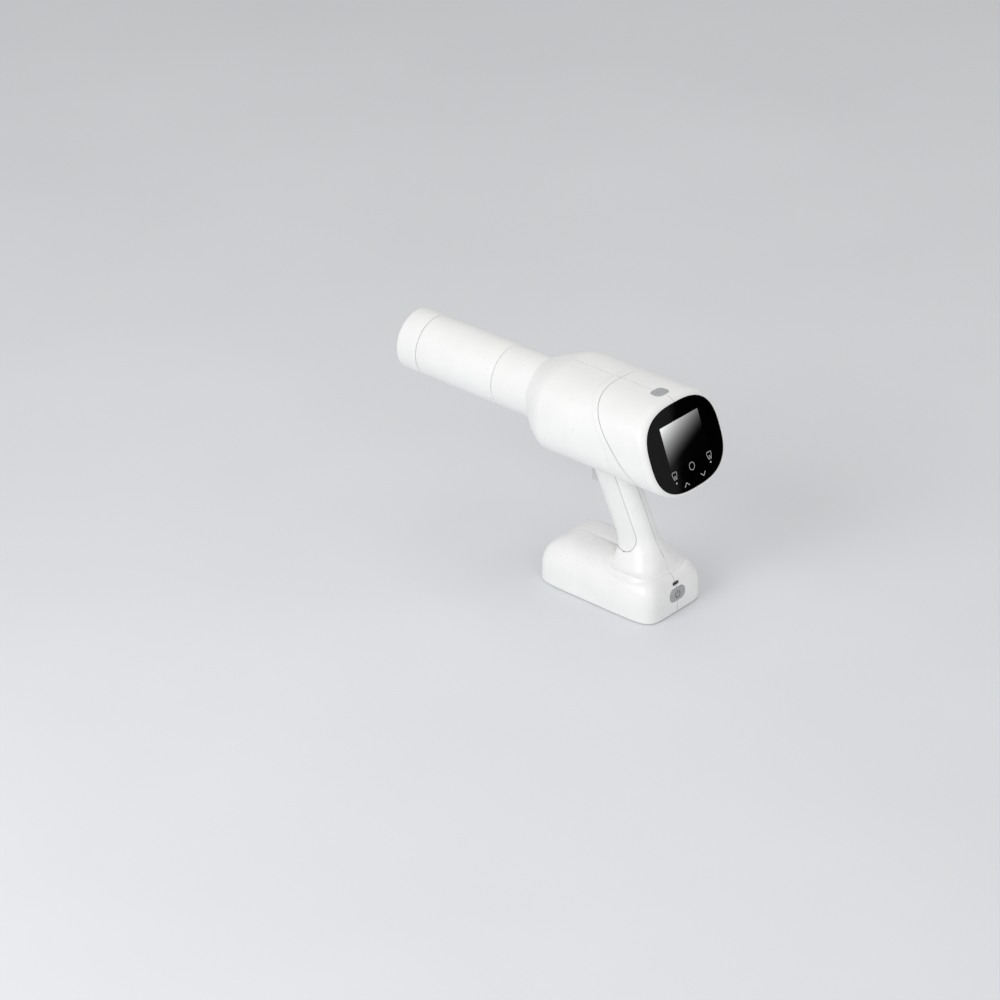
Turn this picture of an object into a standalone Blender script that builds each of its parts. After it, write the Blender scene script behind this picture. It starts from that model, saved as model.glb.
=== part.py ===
"""Handheld dental x-ray unit: a pistol-shaped x-ray source that stands on its battery base.

X runs across the unit, +Y along the beam, +Z up, and the origin lies under the middle of the base.
Lengths are in metres and angles in radians.
"""

from math import copysign, cos, pi, radians, sin, tan

import bmesh
import bpy
from mathutils import Matrix, Vector

# Fits and mesh fineness
GAP = 0.0003              # between pieces that touch or are cut by each other
OVERRUN = 0.006           # how far a cutter runs past what it cuts
SECTION_POINTS = 36       # round the body
GRIP_POINTS = 28
TURNED_STEPS = 32
SMALL_STEPS = 12
CORNER_STEPS = 3

# Body: a squared round section, a flare down to the collar and a tilted rear face
BODY_BOTTOM_Z = 0.1433
BODY_HALF_WIDTH = 0.0574
BODY_HALF_HEIGHT = 0.0452
BODY_EXPONENT = 2.68
BODY_WALL = 0.003
AXIS_Z = BODY_BOTTOM_Z + BODY_HALF_HEIGHT
FLARE_START_Y = 0.0574
FLARE_LENGTH = 0.035
FLARE_END_Y = FLARE_START_Y + FLARE_LENGTH
FLARE_END_WALL = 0.002
FLARE_POWER = 1.4
FLARE_EXPONENT_POWER = 0.62
FLARE_STEPS = 5
NOSE_DEPTH = 0.0151
NOSE_BACK_Y = FLARE_END_Y - NOSE_DEPTH
SEAM_Y = -0.0366
SEAM_TILT = radians(39.5)

# Cone on the beam axis
CONE_RADIUS = 0.032
CONE_WALL = 0.0022
CONE_LENGTH = 0.1262      # from the collar's front to the tip
END_RING_LENGTH = 0.0255
END_LIP = 0.0037
END_LIP_WIDTH = 0.0045
END_LIP_BORE = CONE_RADIUS - END_LIP_WIDTH
LINER_THICKNESS = 0.0006
COLLAR_LENGTH = 0.0476    # ahead of the flare
COLLAR_FRONT_Y = FLARE_END_Y + COLLAR_LENGTH
CONE_TIP_Y = COLLAR_FRONT_Y + CONE_LENGTH
COLLAR_STEP = 0.0002
COLLAR_RADIUS = CONE_RADIUS + COLLAR_STEP
COLLAR_WALL = 0.0047
COLLAR_BORE = COLLAR_RADIUS - COLLAR_WALL
COLLAR_FLANGE_WIDTH = 0.0043
COLLAR_FLANGE_RADIUS = COLLAR_RADIUS + COLLAR_FLANGE_WIDTH
COLLAR_FLANGE_THICKNESS = 0.003
COLLAR_SEAT_DEPTH = 0.006
COLLAR_SEAT_WIDTH = 0.002
COLLAR_SEAT_RADIUS = COLLAR_BORE + COLLAR_SEAT_WIDTH
SPIGOT_WALL = 0.0018
SPIGOT_STEP = 0.0004
SPIGOT_BORE = COLLAR_BORE + SPIGOT_STEP
SPIGOT_RADIUS = SPIGOT_BORE + SPIGOT_WALL
SPIGOT_LENGTH = 0.022
FLARE_END_RADIUS = COLLAR_RADIUS + GAP + FLARE_END_WALL

# Rear panel
PANEL_Y = -0.0796
PANEL_TILT = radians(20.4)
PANEL_EDGE_DEPTH = 0.0072
PANEL_EDGE_INSET = 0.0049
PANEL_EDGE_STEPS = 4
GLASS_INSET = 0.00545
GLASS_EXPONENT = 2.76
GLASS_THICKNESS = 0.002
LEDGE_WIDTH = 0.0045
LEDGE_THICKNESS = 0.002
LCD_WIDTH_SHARE = 0.5401    # of the body's half width
LCD_HALF_WIDTH = LCD_WIDTH_SHARE*BODY_HALF_WIDTH
LCD_LOW_SHARE = -0.4646    # of the body's half height, up the panel
LCD_HIGH_SHARE = 0.6416
LCD_LOW = LCD_LOW_SHARE*BODY_HALF_HEIGHT
LCD_HIGH = LCD_HIGH_SHARE*BODY_HALF_HEIGHT
LCD_THICKNESS = 0.0035
FRAME_INSET = 0.0035
FRAME_THICKNESS = 0.003
BOARD_THICKNESS = 0.0016
MAIN_BOARD_WIDTH_SHARE = 0.7317
MAIN_BOARD_LOW_SHARE = -0.5973
MAIN_BOARD_HIGH_SHARE = 0.6858
MAIN_BOARD_HALF_WIDTH = MAIN_BOARD_WIDTH_SHARE*BODY_HALF_WIDTH
MAIN_BOARD_LOW = MAIN_BOARD_LOW_SHARE*BODY_HALF_HEIGHT
MAIN_BOARD_HIGH = MAIN_BOARD_HIGH_SHARE*BODY_HALF_HEIGHT
BUZZER_RADIUS = 0.006
BUZZER_HEIGHT = 0.0045
BUZZER_ACROSS_SHARE = 0.4878
BUZZER_UP_SHARE = 0.2655
BUZZER_X = BUZZER_ACROSS_SHARE*BODY_HALF_WIDTH
BUZZER_UP = BUZZER_UP_SHARE*BODY_HALF_HEIGHT

# Base
BASE_HALF_WIDTH = 0.0434
BASE_HALF_LENGTH = 0.0735
BASE_HEIGHT = 0.048
BASE_PLAN_EXPONENT = 7
BASE_POINTS = 32
SHOULDER_RISE = 0.012     # height of the upright side under the shoulder
SHOULDER = BASE_HEIGHT - SHOULDER_RISE
SHOULDER_EXPONENT = 2.73
SHOULDER_STEPS = 7
BASE_WALL = 0.0028
RIM_Z = 0.0006
PLATE_THICKNESS = 0.0026
PAD_MARGIN_X = 0.0174
PAD_MARGIN_Y = 0.0215
PAD_HALF_WIDTH = BASE_HALF_WIDTH - PAD_MARGIN_X
PAD_HALF_LENGTH = BASE_HALF_LENGTH - PAD_MARGIN_Y
PAD_CORNER = 0.008
PAD_RECESS = 0.001

# Grip, from the body down to the foot on the rear of the base
GRIP_HALF_WIDTH = 0.0166
GRIP_HALF_DEPTH = 0.023
GRIP_EXPONENT = 2.2
GRIP_WALL = 0.0034
GRIP_LEAN = radians(25.45)
GRIP_MIDDLE_Y = -0.0084
GRIP_MIDDLE_Z = 0.100
GRIP_SINK = 0.0087
GRIP_TOP_Z = BODY_BOTTOM_Z + GRIP_SINK
FOOT_HEIGHT = 0.031
FOOT_DEPTH = 0.005        # how far the foot's widest level lies under the base's top
FOOT_Z = BASE_HEIGHT - FOOT_DEPTH
FOOT_TOP_Z = FOOT_Z + FOOT_HEIGHT
FOOT_MARGIN = 0.0104
FOOT_HALF_WIDTH = BASE_HALF_WIDTH - FOOT_MARGIN
FOOT_HALF_DEPTH = 0.030
FOOT_SETBACK = 0.0415
FOOT_Y = FOOT_SETBACK - BASE_HALF_LENGTH
FOOT_EXPONENT = 3.4
FOOT_POWER = 2.0
FOOT_STEPS = 5
FOOT_SINK = 0.010
COVER_THICKNESS = 0.0016
COVER_WRAP = 0.012        # how far the cover's edge lies behind the grip's middle
COVER_RISE = 0.010        # of the cover's lower edge over the base
COVER_BOTTOM_Z = BASE_HEIGHT + COVER_RISE
COVER_CORNER = 0.020

# Trigger
TRIGGER_HALF_WIDTH = 0.006
TRIGGER_DROP = 0.0046     # under the body
TRIGGER_HEIGHT = 0.0253
TRIGGER_HIGH_Z = BODY_BOTTOM_Z - TRIGGER_DROP
TRIGGER_LOW_Z = TRIGGER_HIGH_Z - TRIGGER_HEIGHT
TRIGGER_FRONT_Y = 0.0325
TRIGGER_RAKE = 0.006      # the top of the face lies this far ahead of its lip
TRIGGER_STEPS = 7
TRIGGER_BACK_Y = 0.0175
TRIGGER_FLANGE_THICKNESS = 0.0033
TRIGGER_FLANGE_HALF_WIDTH = 0.0076
TRIGGER_FLANGE_INSET = 0.0026
TRIGGER_LIP_HEIGHT = 0.0042     # how much further the key reaches below its flange
TRIGGER_TRAVEL = 0.0025
SNAP_SWITCH_SIZE = (0.0064, 0.009, 0.014)
SNAP_PLUNGER_LENGTH = 0.0009
SNAP_PLUNGER_RADIUS = 0.0014
SWITCH_BOSS_RADIUS = 0.0025
SWITCH_BOSS_SPREAD = 0.004

# Top button
TOP_BUTTON_Y = -0.047
TOP_BUTTON_HALF_WIDTH = 0.0086
TOP_BUTTON_HALF_LENGTH = 0.0064
TOP_BUTTON_CORNER = 0.005
TOP_BUTTON_PROUD = 0.0004
TOP_BUTTON_TRAVEL = 0.001
BUTTON_FLANGE = 0.0015
BUTTON_FLANGE_THICKNESS = 0.0015
BUTTON_FLANGE_DROP = 0.0005
STEM_RADIUS = 0.002
TACT_SIZE = 0.006
TACT_HEIGHT = 0.0032
TACT_PLUNGER_RADIUS = 0.0017
TACT_PLUNGER_LENGTH = 0.0004
KEY_BOARD_THICKNESS = 0.0012
KEY_BOARD_HALF_WIDTH = 0.017
KEY_BOARD_HALF_LENGTH = 0.010
KEY_POST_X = 0.014
KEY_POST_RADIUS = 0.0025
SPRING_HEIGHT = 0.0101    # free room between the key board and the button's flange
SPRING_RADIUS = 0.0055
SPRING_WIRE_RADIUS = 0.0004
SPRING_TURNS = 5
SPRING_TURN_POINTS = 10

# Power button and charging port in the back of the base
POWER_Z = 0.0206
POWER_HALF_WIDTH = 0.0115
POWER_HALF_HEIGHT = 0.00675
POWER_CORNER = 0.0064
POWER_PROUD = 0.0004
POWER_TRAVEL = 0.0008
POWER_FLANGE_HALF_WIDTH = 0.0132
POWER_FLANGE_HALF_HEIGHT = 0.005
POWER_FLANGE_DEPTH = 0.0046    # behind the base's rear face
POWER_FLANGE_Y = POWER_FLANGE_DEPTH - BASE_HALF_LENGTH
POWER_FLANGE_THICKNESS = 0.0012
POWER_STEM_LENGTH = 0.0008
PORT_Z = 0.0316
PORT_HALF_WIDTH = 0.0045
PORT_HALF_HEIGHT = 0.0016
PORT_MOUTH_DEPTH = 0.0029
PORT_MOUTH_Y = PORT_MOUTH_DEPTH - BASE_HALF_LENGTH
PORT_WALL = 0.00035
PORT_CAVITY_DEPTH = 0.0062
PORT_TONGUE_HALF_WIDTH = 0.0033
PORT_TONGUE_THICKNESS = 0.0007
PORT_TONGUE_LENGTH = 0.0045
CHARGE_BOARD_DEPTH = 0.0127
CHARGE_BOARD_Y = CHARGE_BOARD_DEPTH - BASE_HALF_LENGTH
CHARGE_BOARD_HALF_WIDTH = 0.020
CHARGE_BOARD_LOW = 0.011
CHARGE_BOARD_HIGH = 0.037

# Batteries
CELL_RADIUS = 0.0092
CELL_BACK_ROOM = 0.0536    # from the base's ends to the cells
CELL_FRONT_ROOM = 0.0284
CELL_LENGTH = 2*BASE_HALF_LENGTH - CELL_BACK_ROOM - CELL_FRONT_ROOM
CELL_PITCH = 0.019
CELL_COUNT = 4
CELL_BACK_Y = CELL_BACK_ROOM - BASE_HALF_LENGTH
TRAY_WALL = 0.0015
TRAY_HEIGHT = 0.0095
BATTERY_BOARD_HALF_WIDTH = 0.025
BATTERY_BOARD_DEPTH = 0.0195
BATTERY_BOARD_BACK_Y = BATTERY_BOARD_DEPTH - BASE_HALF_LENGTH
BATTERY_BOARD_LENGTH = 0.026
BATTERY_RAIL_X = 0.018
BATTERY_RAIL_WIDTH = 0.004
BATTERY_RAIL_HEIGHT = 0.0025

# X-ray tank
TANK_SIDE_ROOM = 0.0244    # from the body's sides, top and nose pocket to the tank
TANK_TOP_ROOM = 0.0167
TANK_FRONT_ROOM = 0.0036
TANK_HALF_WIDTH = BODY_HALF_WIDTH - TANK_SIDE_ROOM
TANK_HALF_HEIGHT = BODY_HALF_HEIGHT - TANK_TOP_ROOM
TANK_BACK_Y = -0.013
TANK_FRONT_Y = NOSE_BACK_Y - TANK_FRONT_ROOM
TANK_WALL = 0.003
TANK_EDGE = 0.0015
LID_THICKNESS = 0.003
GASKET_THICKNESS = 0.0008
BEAM_PORT_RADIUS = 0.010
WINDOW_RADIUS = 0.012
WINDOW_THICKNESS = 0.0012
FILTER_THICKNESS = 0.0015
COLLIMATOR_THICKNESS = 0.0036
APERTURE_RADIUS = 0.0072
FEEDTHROUGH_RADIUS = 0.004
FEEDTHROUGH_HEIGHT = 0.003
FEEDTHROUGH_X = 0.018
FEEDTHROUGH_UP = 0.010
TUBE_Y = 0.034
GLASS_TUBE_RADIUS = 0.010
GLASS_TUBE_WALL = 0.001
GLASS_TUBE_HALF_LENGTH = 0.019
ANODE_RADIUS = 0.0084
ANODE_FACE_X = 0.002
ANODE_STEM_RADIUS = 0.005
TARGET_TILT = radians(20)
CATHODE_RADIUS = 0.0065
CATHODE_FACE_X = -0.008
CATHODE_STEM_RADIUS = 0.004
CATHODE_SLOT = 0.002
CORE_Y = 0.004
CORE_SIDE_ROOM = 0.008
CORE_HALF_WIDTH = TANK_HALF_WIDTH - TANK_WALL - CORE_SIDE_ROOM
CORE_ROOM = 0.015         # over the core, inside the tank
CORE_HEIGHT = 2*TANK_HALF_HEIGHT - 2*TANK_WALL - CORE_ROOM
CORE_DEPTH = 0.014
CORE_LEG = 0.010
CORE_WINDOW_WIDTH = 0.010
CORE_YOKE = 0.008
CORE_WINDOW_HEIGHT = CORE_HEIGHT - 2*CORE_YOKE
WINDING_THICKNESS = 0.0088
WINDING_ROOM = 0.001
WINDING_HEIGHT = CORE_WINDOW_HEIGHT - WINDING_ROOM

# Driver board over the tank
DRIVER_HALF_WIDTH = 0.024
DRIVER_BACK_Y = -0.010
DRIVER_LENGTH = 0.058
DRIVER_POST_RADIUS = 0.0025
DRIVER_POST_HEIGHT = 0.004
DRIVER_POST_INSET = 0.004

# Ribs that hold the tank
RIB_THICKNESS = 0.0025
RIB_MARGIN = 0.0065
RIB_HALF_HEIGHT = TANK_HALF_HEIGHT - RIB_MARGIN
RIB_BACK_Y = 0.002
RIB_FRONT_Y = 0.045
SADDLE_INNER_X = 0.014
SADDLE_OUTER_X = 0.026
SADDLE_BACK_Y = -0.0215
SADDLE_FRONT_Y = 0.052

# Screws
SCREW_SHANK = 0.0015
SCREW_HEAD = 0.0028
SCREW_HEAD_HEIGHT = 0.002
SCREW_SOCKET = 0.0013
SCREW_SOCKET_DEPTH = 0.001
SCREW_SEAT_X = 0.008
SCREW_REACH_X = -0.008
BOSS_RADIUS = 0.004
BASE_SCREW_MARGIN_X = 0.0114
BASE_SCREW_MARGIN_Y = 0.0135
BASE_SCREW_X = BASE_HALF_WIDTH - BASE_SCREW_MARGIN_X
BASE_SCREW_Y = BASE_HALF_LENGTH - BASE_SCREW_MARGIN_Y
BASE_SCREW_LENGTH = 0.010
BASE_SCREW_HEAD_HEIGHT = 0.0012

# Where the screws cross the split, as shares along and up: of the body's straight length ahead of the seam and
# its half height over the axis, of the base's half length and height, of the grip's half depth and length over
# the foot, and of the rear cover's depth and the body's half height
BODY_SCREW_SHARES = {
    "body_screw_rear": (0.0489, -0.4535),
    "body_screw_lower": (1.0277, -0.7854),
    "body_screw_upper": (1.0436, 0.7345),
}
BASE_SCREW_SHARES = {
    "base_screw_front_upper": (0.6803, 0.625),
    "base_screw_rear_upper": (-0.6259, 0.625),
}
GRIP_SCREW_SHARES = (-0.3388, 0.2308)
REAR_SCREW_SHARES = {
    "rear_cover_screw_upper": (0.187, 0.4978),
    "rear_cover_screw_lower": (0.3611, -0.4978),
}

# Route of the lead from the battery board up the grip to the driver board
LEAD_RADIUS = 0.0016
LEAD_STEPS = 3
LEAD_ROUTE = (
    (0.009, -0.040, 0.0079),
    (0.009, -0.0385, 0.028),
    (0.008, -0.032, 0.050),
    (0.007, -0.012, 0.082),
    (0.006, -0.005, 0.108),
    (0.006, -0.001, 0.127),
    (0.006, 0.0025, 0.142),
    (0.006, -0.0015, 0.1515),
    (0.007, -0.011, 0.1537),
    (0.008, -0.0195, 0.158),
    (0.008, -0.0207, 0.168),
    (0.008, -0.0207, 0.212),
    (0.008, -0.018, 0.2203),
    (0.008, -0.0103, 0.2221),
)

PANEL_AXES = Matrix((
    (1, 0, 0, 0),
    (0, sin(PANEL_TILT), -cos(PANEL_TILT), PANEL_Y),
    (0, cos(PANEL_TILT), sin(PANEL_TILT), AXIS_Z),
    (0, 0, 0, 1),
))


def clear_scene():
    for item in list(bpy.data.objects):
        bpy.data.objects.remove(item, do_unlink=True)


def material(name, colour, roughness, metallic=0.0):
    """A plain Principled material."""
    found = bpy.data.materials.get(name)
    if found:
        return found
    made = bpy.data.materials.new(name)
    made.use_nodes = True
    shader = made.node_tree.nodes["Principled BSDF"]
    shader.inputs["Base Color"].default_value = (*colour, 1)
    shader.inputs["Roughness"].default_value = roughness
    shader.inputs["Metallic"].default_value = metallic
    return made


def white_plastic():
    return material("white_plastic", (0.86, 0.86, 0.86), 0.32)


def inner_plastic():
    return material("inner_plastic", (0.08, 0.08, 0.085), 0.5)


def grey_key():
    return material("grey_key", (0.36, 0.36, 0.37), 0.45)


def black_glass():
    return material("black_glass", (0.006, 0.006, 0.008), 0.06)


def black_rubber():
    return material("black_rubber", (0.02, 0.02, 0.02), 0.8)


def board_green():
    return material("board_green", (0.02, 0.12, 0.05), 0.5)


def steel():
    return material("steel", (0.55, 0.55, 0.56), 0.3, 1.0)


def aluminium():
    return material("aluminium", (0.72, 0.73, 0.74), 0.35, 1.0)


def lead():
    return material("lead", (0.25, 0.26, 0.28), 0.55, 1.0)


def copper():
    return material("copper", (0.72, 0.36, 0.2), 0.3, 1.0)


def clear_glass():
    return material("clear_glass", (0.8, 0.86, 0.86), 0.05)


def cell_sleeve():
    return material("cell_sleeve", (0.04, 0.2, 0.35), 0.35)


def ferrite():
    return material("ferrite", (0.05, 0.05, 0.055), 0.6)


def lcd_black():
    return material("lcd_black", (0.015, 0.015, 0.02), 0.2)


def red_sleeve():
    return material("red_sleeve", (0.4, 0.02, 0.02), 0.45)


def keep(name, mesh, finish=None):
    """Puts a mesh into the scene as a named object."""
    item = bpy.data.objects.new(name, mesh)
    bpy.context.scene.collection.objects.link(item)
    mesh.name = name
    if finish:
        mesh.materials.clear()
        mesh.materials.append(finish)
    return item


def from_bmesh(name, bm):
    """An object from a closed bmesh, with its faces turned outwards."""
    bmesh.ops.recalc_face_normals(bm, faces=bm.faces)
    mesh = bpy.data.meshes.new(name)
    bm.to_mesh(mesh)
    bm.free()
    return keep(name, mesh)


def loft(name, rings):
    """A closed solid through rings of equally many points."""
    bm = bmesh.new()
    loops = [[bm.verts.new(point) for point in ring] for ring in rings]
    count = len(rings[0])
    for near, far in zip(loops, loops[1:]):
        for k in range(count):
            n = (k + 1) % count
            bm.faces.new((near[k], near[n], far[n], far[k]))
    bm.faces.new(loops[0])
    bm.faces.new(reversed(loops[-1]))
    return from_bmesh(name, bm)


def prism(name, outline, axis, start, end, middle=(0, 0, 0)):
    """An outline in the two other directions, drawn out along axis from start to end."""
    order = {"X": (2, 0, 1), "Y": (0, 2, 1), "Z": (0, 1, 2)}[axis]
    rings = []
    for level in (start, end):
        ring = []
        for u, v in outline:
            values = (u, v, level)
            ring.append(Vector(values[k] for k in order) + Vector(middle))
        rings.append(ring)
    return loft(name, rings)


def box(name, low, high):
    """A box between two corners."""
    outline = ((low[0], low[1]), (high[0], low[1]), (high[0], high[1]), (low[0], high[1]))
    return prism(name, outline, "Z", low[2], high[2])


def circle(radius, count):
    return [(radius*cos(2*pi*k/count), radius*sin(2*pi*k/count)) for k in range(count)]


def rounded_rectangle(half_width, half_height, radius, steps=CORNER_STEPS):
    """A rectangle round the origin with round corners."""
    points = []
    for corner, (sx, sy) in enumerate(((1, 1), (-1, 1), (-1, -1), (1, -1))):
        for k in range(steps + 1):
            angle = pi/2*(corner + k/steps)
            x = sx*(half_width - radius) + radius*cos(angle)
            points.append((x, sy*(half_height - radius) + radius*sin(angle)))
    return points


def superellipse(half_width, half_height, exponent, count):
    """Points of |u/a|^n + |v/b|^n = 1."""
    points = []
    for k in range(count):
        c = cos(2*pi*k/count)
        s = sin(2*pi*k/count)
        u = half_width*copysign(abs(c)**(2/exponent), c)
        points.append((u, half_height*copysign(abs(s)**(2/exponent), s)))
    return points


def cylinder(name, radius, axis, start, end, middle, steps=SMALL_STEPS):
    return prism(name, circle(radius, steps), axis, start, end, middle)


def turned(name, profile, steps=TURNED_STEPS, x=0.0):
    """A closed profile of (radius, y) points turned about the beam axis."""
    bm = bmesh.new()
    points = [bm.verts.new((x + radius, y, AXIS_Z)) for radius, y in profile]
    edges = [bm.edges.new((a, b)) for a, b in zip(points, points[1:] + points[:1])]
    bmesh.ops.spin(bm, geom=points + edges, cent=(x, 0, AXIS_Z), axis=(0, 1, 0), angle=2*pi,
                   steps=steps, use_merge=True)
    return from_bmesh(name, bm)


def combine(target, tools, operation):
    """Applies one Boolean of target with all the tools, which are used up."""
    group = bpy.data.collections.new("tools")
    for tool in tools:
        group.objects.link(tool)
    change = target.modifiers.new("cut", "BOOLEAN")
    change.solver = "EXACT"
    change.operation = operation
    change.operand_type = "COLLECTION"
    change.collection = group
    scene_state = bpy.context.evaluated_depsgraph_get()
    mesh = bpy.data.meshes.new_from_object(target.evaluated_get(scene_state))
    target.modifiers.clear()
    target.data = mesh
    bpy.data.collections.remove(group)
    for tool in tools:
        bpy.data.objects.remove(tool, do_unlink=True)
    return target


def join(target, *tools):
    return combine(target, tools, "UNION")


def cut(target, *tools):
    return combine(target, tools, "DIFFERENCE")


def within(target, tool):
    return combine(target, (tool,), "INTERSECT")


def copy_of(item, name):
    return keep(name, item.data.copy())


def finish(item, look, smooth=False):
    """Gives a piece its material and shading."""
    item.data.name = item.name
    item.data.materials.clear()
    item.data.materials.append(look)
    if smooth:
        item.data.shade_smooth()
        item.data.set_sharp_from_angle(angle=radians(35))
    return item


def recentre(item, place):
    """Moves a piece's origin to a point of the world, leaving the piece where it is."""
    item.data.transform(Matrix.Translation(-Vector(place)))
    item.location = place
    return item


def body_section(y):
    """Half width, half height and exponent of the body's outer section at y."""
    t = max(0.0, (y - FLARE_START_Y)/(FLARE_END_Y - FLARE_START_Y))
    g = 1 - min(t, 1)**FLARE_POWER
    half_width = FLARE_END_RADIUS + (BODY_HALF_WIDTH - FLARE_END_RADIUS)*g
    half_height = FLARE_END_RADIUS + (BODY_HALF_HEIGHT - FLARE_END_RADIUS)*g
    return half_width, half_height, 2 + (BODY_EXPONENT - 2)*g**FLARE_EXPONENT_POWER


def body_ring(y, inset=0.0, tilt=0.0):
    """The body's section at y, drawn in by inset, in a plane leaned back by tilt."""
    half_width, half_height, exponent = body_section(y)
    points = superellipse(half_width - inset, half_height - inset, exponent, SECTION_POINTS)
    return [Vector((x, y + z*tan(tilt), AXIS_Z + z)) for x, z in points]


def front_body(name, inset, front_y, back_shift):
    """The body from front_y back to the slanted seam."""
    rings = [body_ring(front_y, inset)] if front_y < FLARE_END_Y else []
    for k in range(FLARE_STEPS, -1, -1):
        y = FLARE_START_Y + (FLARE_END_Y - FLARE_START_Y)*sin(pi/2*k/FLARE_STEPS)
        if y < front_y or not rings:
            rings.append(body_ring(y, inset))
    rings.append(body_ring(SEAM_Y + back_shift, inset, SEAM_TILT))
    return loft(name, rings)


def rear_body(name):
    """The outside of the body from the slanted seam to the rear panel's plane."""
    rings = [body_ring(SEAM_Y - GAP/2, 0, SEAM_TILT)]
    for k in range(PANEL_EDGE_STEPS + 1):
        angle = pi/2*k/PANEL_EDGE_STEPS
        inset = PANEL_EDGE_INSET*(1 - cos(angle))
        y = PANEL_Y + PANEL_EDGE_DEPTH*(1 - sin(angle))/cos(PANEL_TILT)
        points = superellipse(BODY_HALF_WIDTH - inset, BODY_HALF_HEIGHT - inset*cos(PANEL_TILT),
                              BODY_EXPONENT, SECTION_POINTS)
        rings.append([Vector((x, y + z*tan(PANEL_TILT), AXIS_Z + z)) for x, z in points])
    return loft(name, rings)


def rear_hollow(name):
    """The room inside the rear covers, up to the ledge behind the glass."""
    depth = GLASS_THICKNESS + LEDGE_THICKNESS + GAP/2
    front = body_ring(SEAM_Y + OVERRUN, BODY_WALL, SEAM_TILT)
    back = body_ring(PANEL_Y + depth/cos(PANEL_TILT), BODY_WALL, PANEL_TILT)
    return loft(name, [front, back])


def panel_outline(inset):
    """The outline that the rear face has in its own plane, drawn in by inset."""
    half_width = BODY_HALF_WIDTH - inset
    half_height = BODY_HALF_HEIGHT/cos(PANEL_TILT) - inset
    return superellipse(half_width, half_height, GLASS_EXPONENT, SECTION_POINTS)


def panel_piece(name, outline, shallow, deep, middle=(0, 0)):
    """A flat piece parallel to the rear face, between two depths behind it."""
    piece = prism(name, outline, "Z", -deep, -shallow, (middle[0], middle[1], 0))
    piece.data.transform(PANEL_AXES)
    return piece


def grip_lean_y(z):
    """Y of the grip's leaning middle line at z."""
    return GRIP_MIDDLE_Y + (z - GRIP_MIDDLE_Z)*tan(GRIP_LEAN)


def grip_section(z):
    """Middle, half width, half depth and exponent of the grip's level section at z."""
    share = min(max((FOOT_TOP_Z - z)/FOOT_HEIGHT, 0), 1)**FOOT_POWER
    lean_y = grip_lean_y(z)
    middle = lean_y + (FOOT_Y - lean_y)*share
    half_width = GRIP_HALF_WIDTH + (FOOT_HALF_WIDTH - GRIP_HALF_WIDTH)*share
    half_depth = GRIP_HALF_DEPTH + (FOOT_HALF_DEPTH - GRIP_HALF_DEPTH)*share
    return middle, half_width, half_depth, GRIP_EXPONENT + (FOOT_EXPONENT - GRIP_EXPONENT)*share


def grip_solid(name, inset, top_z, bottom_z):
    """The grip with its flared foot, drawn in by inset."""
    levels = [bottom_z]
    for k in range(FOOT_STEPS + 1):
        levels.append(FOOT_Z + FOOT_HEIGHT*k/FOOT_STEPS)
    levels.append(top_z)
    rings = []
    for z in levels:
        middle, half_width, half_depth, exponent = grip_section(z)
        points = superellipse(half_width - inset, half_depth - inset, exponent, GRIP_POINTS)
        rings.append([Vector((x, middle + y, z)) for x, y in points])
    return loft(name, rings)


def base_solid(name, inset, bottom_z):
    """The base with its domed shoulders, drawn in by inset."""
    shoulder = SHOULDER - inset
    levels = [(0.0, bottom_z)]
    for k in range(SHOULDER_STEPS + 1):
        c = cos(pi/2*k/SHOULDER_STEPS)
        s = sin(pi/2*k/SHOULDER_STEPS)
        reach = (c**SHOULDER_EXPONENT + s**SHOULDER_EXPONENT)**(-1/SHOULDER_EXPONENT)
        levels.append((shoulder*(1 - reach*c), SHOULDER_RISE + shoulder*reach*s))
    rings = []
    for drawn, z in levels:
        points = superellipse(BASE_HALF_WIDTH - inset - drawn, BASE_HALF_LENGTH - inset - drawn,
                              BASE_PLAN_EXPONENT, BASE_POINTS)
        rings.append([Vector((x, y, z)) for x, y in points])
    return loft(name, rings)


def cover_region(name, grow):
    """The room of the grip's front cover seen from the side, grown all round by grow."""
    corner_z = COVER_BOTTOM_Z + COVER_CORNER
    outline = [(GRIP_HALF_DEPTH + OVERRUN, GRIP_TOP_Z), (-COVER_WRAP - grow, GRIP_TOP_Z)]
    steps = 2*CORNER_STEPS
    for k in range(steps + 1):
        angle = pi + pi/2*k/steps
        offset = COVER_CORNER - COVER_WRAP + (COVER_CORNER + grow)*cos(angle)
        outline.append((offset, corner_z + (COVER_CORNER + grow)*sin(angle)))
    outline.append((GRIP_HALF_DEPTH + OVERRUN, COVER_BOTTOM_Z - grow))
    leaned = [(grip_lean_y(z) + offset, z) for offset, z in outline]
    return prism(name, leaned, "X", -2*GRIP_HALF_WIDTH, 2*GRIP_HALF_WIDTH)


def trigger_slot(name):
    """The slot that the trigger runs in."""
    half_width = TRIGGER_HALF_WIDTH + GAP
    return box(name, (-half_width, TRIGGER_BACK_Y - OVERRUN, TRIGGER_LOW_Z - GAP),
               (half_width, TRIGGER_FRONT_Y + 2*OVERRUN, TRIGGER_HIGH_Z + GAP))


def shell_screw_places():
    """Y and Z of each screw that crosses the split of the main moulding."""
    places = {}
    for name, (along, up) in BODY_SCREW_SHARES.items():
        places[name] = (SEAM_Y + (FLARE_START_Y - SEAM_Y)*along, AXIS_Z + BODY_HALF_HEIGHT*up)
    for name, (along, up) in BASE_SCREW_SHARES.items():
        places[name] = (BASE_HALF_LENGTH*along, BASE_HEIGHT*up)
    along, up = GRIP_SCREW_SHARES
    z = FOOT_TOP_Z + (GRIP_TOP_Z - FOOT_TOP_Z)*up
    places["grip_screw"] = (grip_lean_y(z) + GRIP_HALF_DEPTH*along, z)
    return places


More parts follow.
